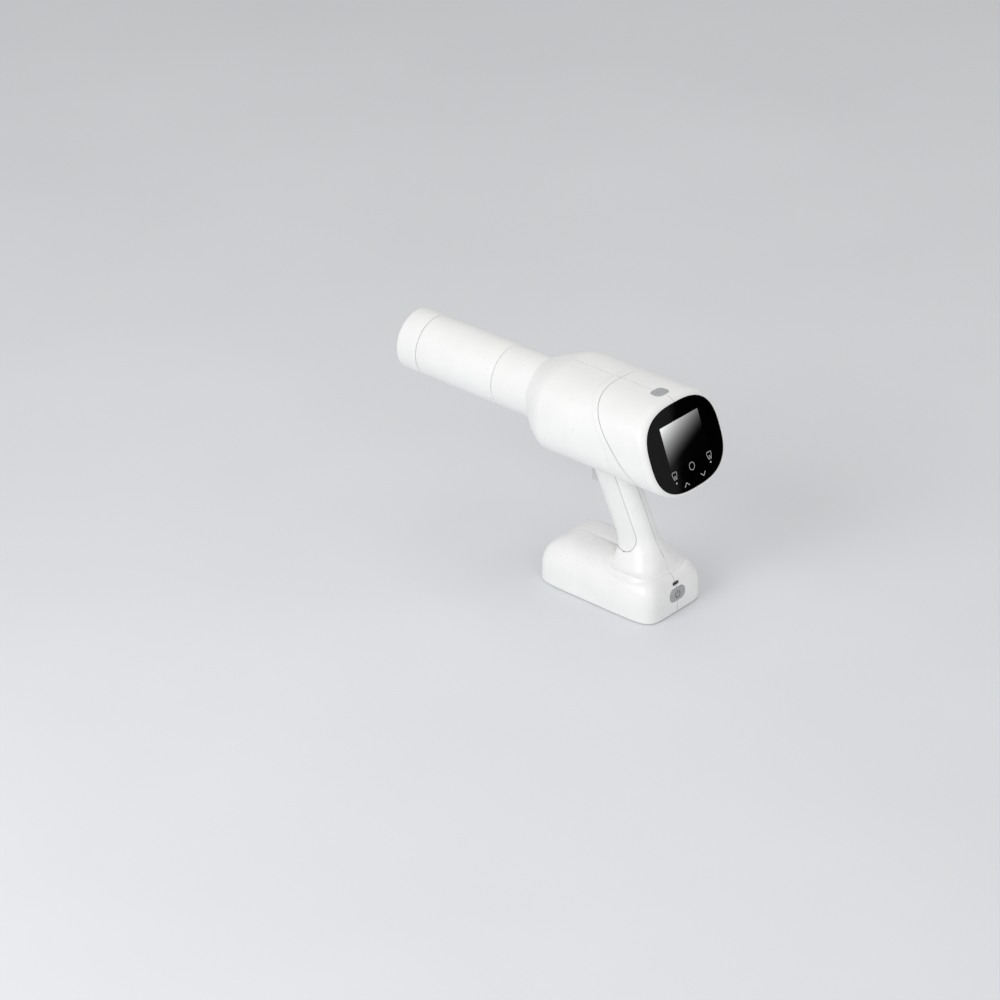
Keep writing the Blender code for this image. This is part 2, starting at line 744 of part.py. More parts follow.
def rear_screw_places():
    """Y and Z of each screw that crosses the split of the rear cover."""
    places = {}
    for name, (along, up) in REAR_SCREW_SHARES.items():
        height = BODY_HALF_HEIGHT*up
        seam_y = SEAM_Y + height*tan(SEAM_TILT)
        panel_y = PANEL_Y + height*tan(PANEL_TILT)
        places[name] = (seam_y + (panel_y - seam_y)*along, AXIS_Z + height)
    return places


def screw_holes(places):
    """Cutters for the screws that cross the split, each a bore and a wide mouth."""
    cutters = []
    for y, z in places:
        reach = BODY_HALF_WIDTH + OVERRUN
        bore = cylinder("bore", SCREW_SHANK + GAP, "X", SCREW_REACH_X - GAP, SCREW_SEAT_X + OVERRUN, (0, y, z))
        mouth = cylinder("mouth", SCREW_HEAD + GAP, "X", SCREW_SEAT_X, reach, (0, y, z))
        cutters.append(join(bore, mouth))
    return cutters


def halves(whole, cutters, left_name, right_name):
    """The two halves of a moulding, each cut from the whole together with the room of its neighbour."""
    far = CONE_TIP_Y + BODY_HALF_WIDTH
    for name, side in ((left_name, -1), (right_name, 1)):
        half = copy_of(whole, name)
        edges = sorted((side*GAP/2, -side*far))
        room = box("room", (edges[0], -far, -far), (edges[1], far, far))
        cut(half, room, *[copy_of(cutter, cutter.name) for cutter in cutters])
        finish(half, white_plastic(), True)
    for item in (whole, *cutters):
        bpy.data.objects.remove(item, do_unlink=True)


def housing_structure():
    """Bosses, posts and tank ribs inside the housing, each run on into its walls."""
    reach = BODY_HALF_WIDTH + OVERRUN
    pieces = []
    for y, z in shell_screw_places().values():
        pieces.append(cylinder("boss", BOSS_RADIUS, "X", -reach, reach, (0, y, z)))
    for sx in (-1, 1):
        for sy in (-1, 1):
            place = (sx*BASE_SCREW_X, sy*BASE_SCREW_Y, 0)
            low = RIM_Z + PLATE_THICKNESS + GAP
            pieces.append(cylinder("post", BOSS_RADIUS, "Z", low, BASE_HEIGHT, place))
        for y in (RIB_BACK_Y, RIB_FRONT_Y):
            edges = sorted((sx*(TANK_HALF_WIDTH + GAP), sx*reach))
            pieces.append(box("rib", (edges[0], y, AXIS_Z - RIB_HALF_HEIGHT),
                              (edges[1], y + RIB_THICKNESS, AXIS_Z + RIB_HALF_HEIGHT)))
        for y in (SADDLE_BACK_Y, SADDLE_FRONT_Y):
            edges = sorted((sx*SADDLE_INNER_X, sx*SADDLE_OUTER_X))
            pieces.append(box("saddle", (edges[0], y, AXIS_Z - BODY_HALF_HEIGHT - OVERRUN),
                              (edges[1], y + RIB_THICKNESS, AXIS_Z - TANK_HALF_HEIGHT - GAP)))
        switch = snap_switch_middle()
        for dz in (-SWITCH_BOSS_SPREAD, SWITCH_BOSS_SPREAD):
            edges = sorted((sx*(SNAP_SWITCH_SIZE[0]/2 + GAP), sx*GRIP_HALF_WIDTH))
            pieces.append(cylinder("switch_boss", SWITCH_BOSS_RADIUS, "X", *edges, switch + Vector((0, 0, dz))))
    return pieces


def housing():
    """The two halves of the main moulding: front of the body, grip and base in one."""
    outer = front_body("outer", 0, FLARE_END_Y, GAP/2)
    join(outer, grip_solid("grip_outer", 0, GRIP_TOP_Z, FOOT_Z - FOOT_SINK), base_solid("base_outer", 0, RIM_Z))
    inner = front_body("inner", BODY_WALL, NOSE_BACK_Y, -OVERRUN)
    join(inner, grip_solid("grip_inner", GRIP_WALL, GRIP_TOP_Z, FOOT_Z - FOOT_SINK),
         base_solid("base_inner", BASE_WALL, RIM_Z - OVERRUN))
    cut(inner, *housing_structure())
    recess = grip_solid("recess", -OVERRUN, GRIP_TOP_Z, FOOT_Z)
    cut(recess, grip_solid("recess_floor", COVER_THICKNESS + GAP, GRIP_TOP_Z + OVERRUN, FOOT_Z - OVERRUN))
    within(recess, cover_region("recess_room", GAP))
    cut(recess, front_body("recess_top", 0, FLARE_END_Y, GAP/2))
    nose = COLLAR_RADIUS + GAP
    low = RIM_Z + PLATE_THICKNESS
    back = -BASE_HALF_LENGTH
    power_hole = rounded_rectangle(POWER_HALF_WIDTH + GAP, POWER_HALF_HEIGHT + GAP, POWER_CORNER + GAP)
    port_hole = rounded_rectangle(PORT_HALF_WIDTH + GAP, PORT_HALF_HEIGHT + GAP, PORT_HALF_HEIGHT + GAP)
    cutters = [
        inner,
        trigger_slot("slot"),
        recess,
        turned_rod("nose_bore", nose, NOSE_BACK_Y - OVERRUN, FLARE_END_Y + OVERRUN),
        prism("power_hole", power_hole, "Y", back - OVERRUN, back + OVERRUN, (0, 0, POWER_Z)),
        prism("port_hole", port_hole, "Y", back - OVERRUN, PORT_MOUTH_Y + 2*OVERRUN, (0, 0, PORT_Z)),
    ]
    cutters += screw_holes(shell_screw_places().values())
    for x, y in base_screw_places():
        cutters.append(cylinder("thread", SCREW_SHANK + GAP, "Z", low, low + BASE_SCREW_LENGTH, (x, y, 0)))
    halves(outer, cutters, "housing_left", "housing_right")


def turned_rod(name, radius, start, end):
    """A cylinder on the beam axis."""
    return cylinder(name, radius, "Y", start, end, (0, 0, AXIS_Z), TURNED_STEPS)


def base_screw_places():
    return [(sx*BASE_SCREW_X, sy*BASE_SCREW_Y) for sx in (-1, 1) for sy in (-1, 1)]


def rear_covers():
    """The two halves behind the slanted seam, which hold the display."""
    cover = rear_body("rear_cover")
    reach = BODY_HALF_WIDTH + OVERRUN
    pieces = [cylinder("boss", BOSS_RADIUS, "X", -reach, reach, (0, y, z))
              for y, z in rear_screw_places().values()]
    for sx in (-1, 1):
        place = (sx*KEY_POST_X, TOP_BUTTON_Y, 0)
        pieces.append(cylinder("post", KEY_POST_RADIUS, "Z", key_board_top() + GAP,
                               AXIS_Z + BODY_HALF_HEIGHT, place))
    hollow = cut(rear_hollow("hollow"), *pieces)
    pocket = GLASS_THICKNESS + GAP/2
    ledge = pocket + LEDGE_THICKNESS
    hole = rounded_rectangle(TOP_BUTTON_HALF_WIDTH + GAP, TOP_BUTTON_HALF_LENGTH + GAP, TOP_BUTTON_CORNER + GAP)
    top = AXIS_Z + BODY_HALF_HEIGHT
    cutters = [
        hollow,
        panel_piece("pocket", panel_outline(GLASS_INSET - GAP), -OVERRUN, pocket),
        panel_piece("opening", panel_outline(GLASS_INSET + LEDGE_WIDTH), -OVERRUN, ledge + GAP),
        prism("button_hole", hole, "Z", top - 2*BODY_WALL, top + OVERRUN, (0, TOP_BUTTON_Y, 0)),
    ]
    cutters += screw_holes(rear_screw_places().values())
    halves(cover, cutters, "rear_cover_left", "rear_cover_right")


def grip_cover():
    """The cover that wraps the front and the sides of the grip."""
    cover = grip_solid("grip_front_cover", 0, GRIP_TOP_Z, FOOT_Z)
    cut(cover, grip_solid("cover_back", COVER_THICKNESS, GRIP_TOP_Z + OVERRUN, FOOT_Z - OVERRUN))
    within(cover, cover_region("cover_room", 0))
    cut(cover, front_body("cover_top", -GAP, FLARE_END_Y, GAP/2), trigger_slot("slot"))
    finish(cover, white_plastic(), True)


def screw(name, seat, length, direction, head_height=SCREW_HEAD_HEIGHT):
    """A socket screw: its head lies on seat and its shank runs along direction."""
    body = cylinder(name, SCREW_HEAD, "Z", 0, head_height, (0, 0, 0))
    join(body, cylinder("shank", SCREW_SHANK, "Z", -length, head_height/2, (0, 0, 0)))
    socket = circle(SCREW_SOCKET, 6)
    cut(body, prism("socket", socket, "Z", head_height - min(SCREW_SOCKET_DEPTH, head_height/2),
                    head_height + OVERRUN))
    turn = Vector((0, 0, -1)).rotation_difference(Vector(direction))
    body.data.transform(Matrix.Translation(seat) @ turn.to_matrix().to_4x4())
    return finish(body, steel())


def screws():
    """Every screw that shows or holds the housing together."""
    for name, (y, z) in (shell_screw_places() | rear_screw_places()).items():
        screw(name, (SCREW_SEAT_X + GAP, y, z), SCREW_SEAT_X - SCREW_REACH_X, (-1, 0, 0))
    for k, (x, y) in enumerate(base_screw_places()):
        seat = RIM_Z + GAP + BASE_SCREW_HEAD_HEIGHT
        screw(f"base_plate_screw_{k + 1}", (x, y, seat), BASE_SCREW_LENGTH, (0, 0, 1), BASE_SCREW_HEAD_HEIGHT)


def base_plate():
    """The plate that closes the base, with its rails and board posts."""
    clearance = BASE_WALL + GAP
    outline = superellipse(BASE_HALF_WIDTH - clearance, BASE_HALF_LENGTH - clearance,
                           BASE_PLAN_EXPONENT, BASE_POINTS)
    top = RIM_Z + PLATE_THICKNESS
    plate = prism("base_plate", outline, "Z", RIM_Z, top)
    for sx in (-1, 1):
        edges = sorted((sx*BATTERY_RAIL_X, sx*(BATTERY_RAIL_X + BATTERY_RAIL_WIDTH)))
        join(plate, box("rail", (edges[0], BATTERY_BOARD_BACK_Y, top - GAP),
                        (edges[1], BATTERY_BOARD_BACK_Y + BATTERY_BOARD_LENGTH, top + BATTERY_RAIL_HEIGHT)))
        edges = sorted((sx*(CHARGE_BOARD_HALF_WIDTH - BATTERY_RAIL_WIDTH), sx*CHARGE_BOARD_HALF_WIDTH))
        post_top = CHARGE_BOARD_HIGH - BATTERY_RAIL_WIDTH
        join(plate, box("board_post", (edges[0], CHARGE_BOARD_Y + GAP, top - GAP),
                        (edges[1], CHARGE_BOARD_Y + BATTERY_RAIL_WIDTH, post_top)))
    recess = rounded_rectangle(PAD_HALF_WIDTH + GAP, PAD_HALF_LENGTH + GAP, PAD_CORNER + GAP)
    cut(plate, prism("pad_recess", recess, "Z", RIM_Z - OVERRUN, RIM_Z + PAD_RECESS))
    for x, y in base_screw_places():
        seat = RIM_Z + GAP + BASE_SCREW_HEAD_HEIGHT + GAP
        cut(plate, cylinder("bore", SCREW_SHANK + GAP, "Z", RIM_Z - OVERRUN, top + OVERRUN, (x, y, 0)),
            cylinder("mouth", SCREW_HEAD + GAP, "Z", RIM_Z - OVERRUN, seat, (x, y, 0)))
    finish(plate, white_plastic())


def anti_slip_pad():
    """The rubber pad that the unit stands on."""
    outline = rounded_rectangle(PAD_HALF_WIDTH, PAD_HALF_LENGTH, PAD_CORNER)
    finish(prism("anti_slip_pad", outline, "Z", 0, RIM_Z + PAD_RECESS - GAP), black_rubber())


def cone_collar():
    """The collar in the nose, with its flange, the filter's seat and the cone's socket."""
    back = collar_back()
    seat = back + COLLAR_SEAT_DEPTH
    flange = NOSE_BACK_Y - GAP
    socket = collar_socket()
    collar = turned("cone_collar", (
        (COLLAR_FLANGE_RADIUS, back), (COLLAR_FLANGE_RADIUS, flange),
        (COLLAR_RADIUS, flange), (COLLAR_RADIUS, COLLAR_FRONT_Y),
        (SPIGOT_RADIUS + GAP, COLLAR_FRONT_Y), (SPIGOT_RADIUS + GAP, socket),
        (COLLAR_BORE, socket), (COLLAR_BORE, seat),
        (COLLAR_SEAT_RADIUS, seat), (COLLAR_SEAT_RADIUS, back)))
    finish(collar, white_plastic(), True)


def collar_back():
    return NOSE_BACK_Y - GAP - COLLAR_FLANGE_THICKNESS


def collar_socket():
    """Y of the bottom of the collar's socket."""
    return COLLAR_FRONT_Y - SPIGOT_LENGTH


def liner_back():
    """Y of the shoulder inside the cone, where its liner starts."""
    return COLLAR_FRONT_Y + GAP + CONE_WALL


def cone_tube():
    """The cone's tube, which ends in a spigot inside the collar."""
    ring_back = CONE_TIP_Y - END_RING_LENGTH
    tube_back = COLLAR_FRONT_Y + GAP
    bore = CONE_RADIUS - CONE_WALL
    spigot_back = collar_socket() + GAP
    tube = turned("cone_tube", (
        (CONE_RADIUS, ring_back - GAP), (bore, ring_back - GAP), (bore, liner_back()),
        (SPIGOT_BORE, liner_back()), (SPIGOT_BORE, spigot_back), (SPIGOT_RADIUS, spigot_back),
        (SPIGOT_RADIUS, tube_back), (CONE_RADIUS, tube_back)))
    finish(tube, white_plastic(), True)


def cone_liner():
    """The lead sleeve in the cone, from its shoulder to the end ring's lip."""
    start = liner_back() + GAP
    end = CONE_TIP_Y - END_LIP - GAP
    outer = CONE_RADIUS - CONE_WALL - GAP
    liner = turned("cone_liner", (
        (outer, start), (outer, end), (outer - LINER_THICKNESS, end), (outer - LINER_THICKNESS, start)))
    finish(liner, lead(), True)


def cone_end_ring():
    """The ring at the tip, with its inner lip."""
    ring_back = CONE_TIP_Y - END_RING_LENGTH
    lip_y = CONE_TIP_Y - END_LIP
    bore = CONE_RADIUS - CONE_WALL
    edge = CONE_WALL/2
    ring = turned("cone_end_ring", (
        (CONE_RADIUS, ring_back), (CONE_RADIUS, CONE_TIP_Y - edge), (CONE_RADIUS - edge, CONE_TIP_Y),
        (END_LIP_BORE + edge, CONE_TIP_Y), (END_LIP_BORE, CONE_TIP_Y - edge),
        (END_LIP_BORE, lip_y), (bore, lip_y), (bore, ring_back)))
    finish(ring, white_plastic(), True)


def exit_window():
    """The tank's window for the beam."""
    window = turned_rod("exit_window", WINDOW_RADIUS, TANK_FRONT_Y - WINDOW_THICKNESS, TANK_FRONT_Y)
    finish(window, clear_glass())


def filter_back():
    return TANK_FRONT_Y + 2*GAP


def beam_filter():
    """The aluminium disc ahead of the window."""
    start = filter_back()
    disc = turned_rod("beam_filter", COLLAR_SEAT_RADIUS - GAP, start, start + FILTER_THICKNESS)
    finish(disc, aluminium())


def collimator():
    """The lead disc whose hole sets the width of the beam."""
    back = filter_back() + FILTER_THICKNESS + GAP
    front = back + COLLIMATOR_THICKNESS
    disc = COLLAR_SEAT_RADIUS - GAP
    plate = turned("collimator", (
        (disc, back), (disc, front), (APERTURE_RADIUS, front), (APERTURE_RADIUS, back)))
    finish(plate, lead())


def tank_section(name, inset, start, end):
    """A block of the tank's section, drawn in by inset."""
    corner = max(TANK_EDGE, TANK_EDGE + TANK_WALL - inset)
    outline = rounded_rectangle(TANK_HALF_WIDTH - inset, TANK_HALF_HEIGHT - inset, corner)
    return prism(name, outline, "Y", start, end, (0, 0, AXIS_Z))


def driver_posts():
    """X and Y of the posts that carry the driver board."""
    x = DRIVER_HALF_WIDTH - DRIVER_POST_INSET
    rows = (DRIVER_BACK_Y + DRIVER_POST_INSET + DRIVER_POST_RADIUS,
            DRIVER_BACK_Y + DRIVER_LENGTH - DRIVER_POST_INSET)
    return [(sx*x, y) for sx in (-1, 1) for y in rows]


def tank_body():
    """The sealed tank that holds the x-ray tube, with the posts of the driver board."""
    body = tank_section("tank_body", 0, TANK_BACK_Y, TANK_FRONT_Y)
    top = AXIS_Z + TANK_HALF_HEIGHT
    for x, y in driver_posts():
        join(body, cylinder("post", DRIVER_POST_RADIUS, "Z", top - TANK_EDGE, top + DRIVER_POST_HEIGHT,
                            (x, y, 0)))
    cut(body, tank_section("hollow", TANK_WALL, TANK_BACK_Y - OVERRUN, TANK_FRONT_Y - TANK_WALL),
        turned_rod("port", BEAM_PORT_RADIUS, TANK_FRONT_Y - OVERRUN, TANK_FRONT_Y + OVERRUN),
        turned_rod("seat", WINDOW_RADIUS + GAP, TANK_FRONT_Y - WINDOW_THICKNESS - GAP, TANK_FRONT_Y + OVERRUN))
    finish(body, aluminium())


def gasket_front():
    return TANK_BACK_Y - GAP


def tank_gasket():
    """The frame-shaped seal between the tank and its lid."""
    front = gasket_front()
    gasket = tank_section("tank_gasket", 0, front - GASKET_THICKNESS, front)
    cut(gasket, tank_section("hollow", TANK_WALL, front - OVERRUN, front + OVERRUN))
    finish(gasket, black_rubber())


def tank_lid():
    """The tank's rear lid, with two feedthroughs."""
    front = gasket_front() - GASKET_THICKNESS - GAP
    back = front - LID_THICKNESS
    lid = tank_section("tank_lid", 0, back, front)
    for sx in (-1, 1):
        place = (sx*FEEDTHROUGH_X, 0, AXIS_Z + FEEDTHROUGH_UP)
        join(lid, cylinder("feedthrough", FEEDTHROUGH_RADIUS, "Y", back - FEEDTHROUGH_HEIGHT, front - GAP,
                           place))
    finish(lid, aluminium())


def tube_place():
    return (0, TUBE_Y, AXIS_Z)


def tube_reach():
    """How far the tube's stems reach to the tank's side walls."""
    return TANK_HALF_WIDTH - TANK_WALL - GAP


def xray_tube_glass():
    """The tube's glass envelope, which lies across the beam."""
    half = GLASS_TUBE_HALF_LENGTH
    place = tube_place()
    glass = cylinder("xray_tube_glass", GLASS_TUBE_RADIUS, "X", -half, half, place, 2*SMALL_STEPS)
    cut(glass, cylinder("bore", GLASS_TUBE_RADIUS - GLASS_TUBE_WALL, "X",
                        -half - OVERRUN, half + OVERRUN, place, 2*SMALL_STEPS))
    finish(glass, clear_glass(), True)


def xray_tube_anode():
    """The anode with its tilted target, whose face turns the beam forwards."""
    half = GLASS_TUBE_HALF_LENGTH
    slope = ANODE_RADIUS*tan(TARGET_TILT)
    anode = cylinder("xray_tube_anode", ANODE_RADIUS, "X", ANODE_FACE_X - slope, half, tube_place(),
                     2*SMALL_STEPS)
    join(anode, cylinder("stem", ANODE_STEM_RADIUS, "X", half/2, tube_reach(), tube_place()))
    wedge = [(-2*slope - OVERRUN, 2*ANODE_RADIUS), (2*slope, 2*ANODE_RADIUS),
             (-2*slope, -2*ANODE_RADIUS), (-2*slope - OVERRUN, -2*ANODE_RADIUS)]
    cut(anode, prism("target", wedge, "Z", AXIS_Z - 2*ANODE_RADIUS, AXIS_Z + 2*ANODE_RADIUS,
                     (ANODE_FACE_X, TUBE_Y, 0)))
    finish(anode, copper(), True)


def xray_tube_cathode():
    """The cathode with its focusing slot."""
    half = GLASS_TUBE_HALF_LENGTH
    cathode = cylinder("xray_tube_cathode", CATHODE_RADIUS, "X", -half, CATHODE_FACE_X, tube_place(),
                       2*SMALL_STEPS)
    join(cathode, cylinder("stem", CATHODE_STEM_RADIUS, "X", -tube_reach(), -half/2, tube_place()))
    slot = Vector((CATHODE_SLOT, CATHODE_SLOT/2, CATHODE_RADIUS/2))
    middle = Vector((CATHODE_FACE_X, TUBE_Y, AXIS_Z))
    cut(cathode, box("slot", middle - slot, middle + slot))
    finish(cathode, steel(), True)


def core_floor():
    return AXIS_Z - TANK_HALF_HEIGHT + TANK_WALL + GAP


def transformer_core():
    """The three-legged core of the high-voltage transformer."""
    floor = core_floor()
    middle_z = floor + CORE_HEIGHT/2
    half_depth = CORE_DEPTH/2
    core = box("transformer_core", (-CORE_HALF_WIDTH, CORE_Y - half_depth, floor),
               (CORE_HALF_WIDTH, CORE_Y + half_depth, floor + CORE_HEIGHT))
    for sx in (-1, 1):
        edges = sorted((sx*CORE_LEG/2, sx*(CORE_LEG/2 + CORE_WINDOW_WIDTH)))
        cut(core, box("window", (edges[0], CORE_Y - half_depth - OVERRUN, middle_z - CORE_WINDOW_HEIGHT/2),
                      (edges[1], CORE_Y + half_depth + OVERRUN, middle_z + CORE_WINDOW_HEIGHT/2)))
    finish(core, ferrite())


def transformer_winding():
    """The winding on the core's middle leg."""
    half_width = CORE_LEG/2 + GAP
    half_length = CORE_DEPTH/2 + GAP
    outline = rounded_rectangle(half_width + WINDING_THICKNESS, half_length + WINDING_THICKNESS/2,
                                WINDING_THICKNESS/2)
    low = core_floor() + (CORE_HEIGHT - WINDING_HEIGHT)/2
    winding = prism("transformer_winding", outline, "Z", low, low + WINDING_HEIGHT, (0, CORE_Y, 0))
    cut(winding, box("leg", (-half_width, CORE_Y - half_length, low - OVERRUN),
                     (half_width, CORE_Y + half_length, low + WINDING_HEIGHT + OVERRUN)))
    finish(winding, copper())


def driver_board():
    """The inverter board on top of the tank, with its main components."""
    low = AXIS_Z + TANK_HALF_HEIGHT + DRIVER_POST_HEIGHT + GAP
    top = low + BOARD_THICKNESS
    front = DRIVER_BACK_Y + DRIVER_LENGTH
    board = box("driver_board", (-DRIVER_HALF_WIDTH, DRIVER_BACK_Y, low), (DRIVER_HALF_WIDTH, front, top))
    middle = DRIVER_BACK_Y + DRIVER_LENGTH/2
    part_height = DRIVER_POST_HEIGHT
    third = DRIVER_HALF_WIDTH/3
    join(board, box("inductor", (-third, middle - third, low + GAP),
                    (third, middle + third, top + part_height)))
    for sx in (-1, 1):
        place = (sx*third*3/2, front - third, 0)
        join(board, cylinder("capacitor", third/2, "Z", low + GAP, top + part_height, place))
    finish(board, board_green())


def display_glass():
    """The cover glass, flush with the rear face."""
    finish(panel_piece("display_glass", panel_outline(GLASS_INSET), 0, GLASS_THICKNESS), black_glass())


def lcd_outline(grow):
    """The display module's outline grown by grow, and its middle on the panel."""
    half_height = (LCD_HIGH - LCD_LOW)/2
    outline = rounded_rectangle(LCD_HALF_WIDTH + grow, half_height + grow, GAP, 1)
    return outline, (0, (LCD_LOW + LCD_HIGH)/2)


def lcd_module():
    """The display module behind the glass."""
    outline, middle = lcd_outline(0)
    front = GLASS_THICKNESS + GAP
    finish(panel_piece("lcd_module", outline, front, front + LCD_THICKNESS, middle), lcd_black())


def frame_front():
    return GLASS_THICKNESS + LEDGE_THICKNESS + 2*GAP


def board_front():
    return frame_front() + FRAME_THICKNESS + GAP


def board_back():
    return board_front() + BOARD_THICKNESS


def display_frame():
    """The frame that clamps the module and the glass to the ledge."""
    front = frame_front()
    outline = panel_outline(GLASS_INSET + FRAME_INSET)
    frame = panel_piece("display_frame", outline, front, front + FRAME_THICKNESS)
    window, middle = lcd_outline(GAP)
    cut(frame, panel_piece("window", window, front - OVERRUN, front + FRAME_THICKNESS + OVERRUN, middle))
    finish(frame, inner_plastic())


def main_board():
    """The control board behind the display, with its three main chips."""
    half_board = (MAIN_BOARD_HIGH - MAIN_BOARD_LOW)/2
    outline = rounded_rectangle(MAIN_BOARD_HALF_WIDTH, half_board, half_board/4)
    place = (0, (MAIN_BOARD_HIGH + MAIN_BOARD_LOW)/2)
    board = panel_piece("main_board", outline, board_front(), board_back(), place)
    for side in (-1, 0, 1):
        chip = rounded_rectangle(half_board/5, half_board/5, GAP, 1)
        join(board, panel_piece("chip", chip, board_front() + GAP, board_back() + BOARD_THICKNESS,
                                (side*MAIN_BOARD_HALF_WIDTH/2, place[1] - half_board/3)))
    finish(board, board_green())


def buzzer():
    """The buzzer on the back of the control board."""
    start = board_back() + GAP
    drum = panel_piece("buzzer", circle(BUZZER_RADIUS, 2*SMALL_STEPS), start, start + BUZZER_HEIGHT,
                       (BUZZER_X, BUZZER_UP))
    finish(drum, inner_plastic(), True)


def key_flange_top():
    """Height of the top of the top button's flange, just under the shell."""
    return AXIS_Z + BODY_HALF_HEIGHT - BODY_WALL - BUTTON_FLANGE_DROP


def key_board_top():
    """Height of the top of the small board under the top button."""
    return key_flange_top() - BUTTON_FLANGE_THICKNESS - SPRING_HEIGHT


def tact_switch(name, start, axis, side, middle):
    """A small push switch that stands on a board at start and points along side * axis."""
    half = TACT_SIZE/2
    square = rounded_rectangle(half, half, half/6, 1)
    tip = start + side*(TACT_HEIGHT + TACT_PLUNGER_LENGTH)
    body = prism(name, square, axis, *sorted((start, start + side*TACT_HEIGHT)), middle)
    inside = start + side*TACT_HEIGHT/2
    join(body, cylinder("plunger", TACT_PLUNGER_RADIUS, axis, *sorted((inside, tip)), middle))
    return finish(body, inner_plastic())


def top_button():
    """The button in the top of the body, with its flange and stem."""
    middle = (0, TOP_BUTTON_Y, 0)
    flange_top = key_flange_top()
    flange_low = flange_top - BUTTON_FLANGE_THICKNESS
    cap = rounded_rectangle(TOP_BUTTON_HALF_WIDTH, TOP_BUTTON_HALF_LENGTH, TOP_BUTTON_CORNER)
    top = AXIS_Z + BODY_HALF_HEIGHT + TOP_BUTTON_PROUD
    button = prism("top_button", cap, "Z", flange_low + GAP, top, middle)
    flange = rounded_rectangle(TOP_BUTTON_HALF_WIDTH + BUTTON_FLANGE, TOP_BUTTON_HALF_LENGTH + BUTTON_FLANGE,
                               TOP_BUTTON_CORNER)
    stem_low = key_board_top() + GAP + TACT_HEIGHT + TACT_PLUNGER_LENGTH + TOP_BUTTON_TRAVEL + GAP
    join(button, prism("flange", flange, "Z", flange_low, flange_top, middle),
         cylinder("stem", STEM_RADIUS, "Z", stem_low, flange_top - GAP, middle))
    finish(button, grey_key())
    recentre(button, (0, TOP_BUTTON_Y, top))


def top_button_switch():
    tact_switch("top_button_switch", key_board_top() + GAP, "Z", 1, (0, TOP_BUTTON_Y, 0))


def top_button_board():
    """The small board under the top button."""
    top = key_board_top()
    low_y = TOP_BUTTON_Y - KEY_BOARD_HALF_LENGTH
    high_y = TOP_BUTTON_Y + KEY_BOARD_HALF_LENGTH
    board = box("top_button_board", (-KEY_BOARD_HALF_WIDTH, low_y, top - KEY_BOARD_THICKNESS),
                (KEY_BOARD_HALF_WIDTH, high_y, top))
    finish(board, board_green())


def top_button_spring():
    """The return spring round the top button's stem, one open helix of round wire."""
    low = key_board_top() + GAP + SPRING_WIRE_RADIUS
    high = key_flange_top() - BUTTON_FLANGE_THICKNESS - GAP - SPRING_WIRE_RADIUS
    count = SPRING_TURNS*SPRING_TURN_POINTS
    points = []
    for k in range(count + 1):
        angle = 2*pi*k/SPRING_TURN_POINTS
        points.append((SPRING_RADIUS*cos(angle), TOP_BUTTON_Y + SPRING_RADIUS*sin(angle),
                       low + (high - low)*k/count))
    wire("top_button_spring", points, SPRING_WIRE_RADIUS, 1, steel())


def wire(name, points, radius, resolution, look):
    """A round wire through points."""
    curve = bpy.data.curves.new(name, "CURVE")
    curve.dimensions = "3D"
    curve.bevel_depth = radius
    curve.bevel_resolution = resolution
    curve.use_fill_caps = True
    spline = curve.splines.new("POLY")
    spline.points.add(len(points) - 1)
    for point, place in zip(spline.points, points):
        point.co = (*place, 1)
    item = bpy.data.objects.new(name, curve)
    bpy.context.scene.collection.objects.link(item)
    curve.materials.append(look)
    return item


def snap_switch_middle():
    """Middle of the trigger's switch, far enough back for the trigger's travel."""
    face_y = TRIGGER_BACK_Y - TRIGGER_FLANGE_THICKNESS - TRIGGER_TRAVEL - GAP - SNAP_PLUNGER_LENGTH
    return Vector((0, face_y - SNAP_SWITCH_SIZE[1]/2, (TRIGGER_LOW_Z + TRIGGER_LIP_HEIGHT + TRIGGER_HIGH_Z)/2))


def trigger():
    """The exposure trigger at the top of the grip, with the flange that keeps it in."""
    height = TRIGGER_HEIGHT
    outline = [(TRIGGER_BACK_Y - GAP, TRIGGER_LOW_Z)]
    for k in range(TRIGGER_STEPS + 1):
        share = k/TRIGGER_STEPS
        hollow = share*(1 - share)
        y = TRIGGER_FRONT_Y + TRIGGER_RAKE*(share*share - hollow)
        outline.append((y, TRIGGER_LOW_Z + height*share))
    outline.append((TRIGGER_BACK_Y - GAP, TRIGGER_HIGH_Z))
    key = prism("trigger", outline, "X", -TRIGGER_HALF_WIDTH, TRIGGER_HALF_WIDTH)
    low = TRIGGER_LOW_Z + TRIGGER_LIP_HEIGHT + TRIGGER_FLANGE_INSET
    high = TRIGGER_HIGH_Z - TRIGGER_FLANGE_INSET
    flange_y = TRIGGER_BACK_Y - TRIGGER_FLANGE_THICKNESS
    lean = (high - low)*tan(GRIP_LEAN)
    flange = ((flange_y, low), (TRIGGER_BACK_Y, low), (TRIGGER_BACK_Y + lean, high), (flange_y, high))
    join(key, prism("flange", flange, "X", -TRIGGER_FLANGE_HALF_WIDTH, TRIGGER_FLANGE_HALF_WIDTH))
    finish(key, grey_key(), True)
    recentre(key, (0, TRIGGER_FRONT_Y, (TRIGGER_LOW_Z + TRIGGER_HIGH_Z)/2))


def trigger_switch():
    """The snap switch behind the trigger."""
    middle = snap_switch_middle()
    half = Vector(SNAP_SWITCH_SIZE)/2
    switch = box("trigger_switch", middle - half, middle + half)
    face_y = middle.y + half.y
    join(switch, cylinder("plunger", SNAP_PLUNGER_RADIUS, "Y", face_y - GAP, face_y + SNAP_PLUNGER_LENGTH,
                          (0, 0, middle.z)))
    finish(switch, inner_plastic())


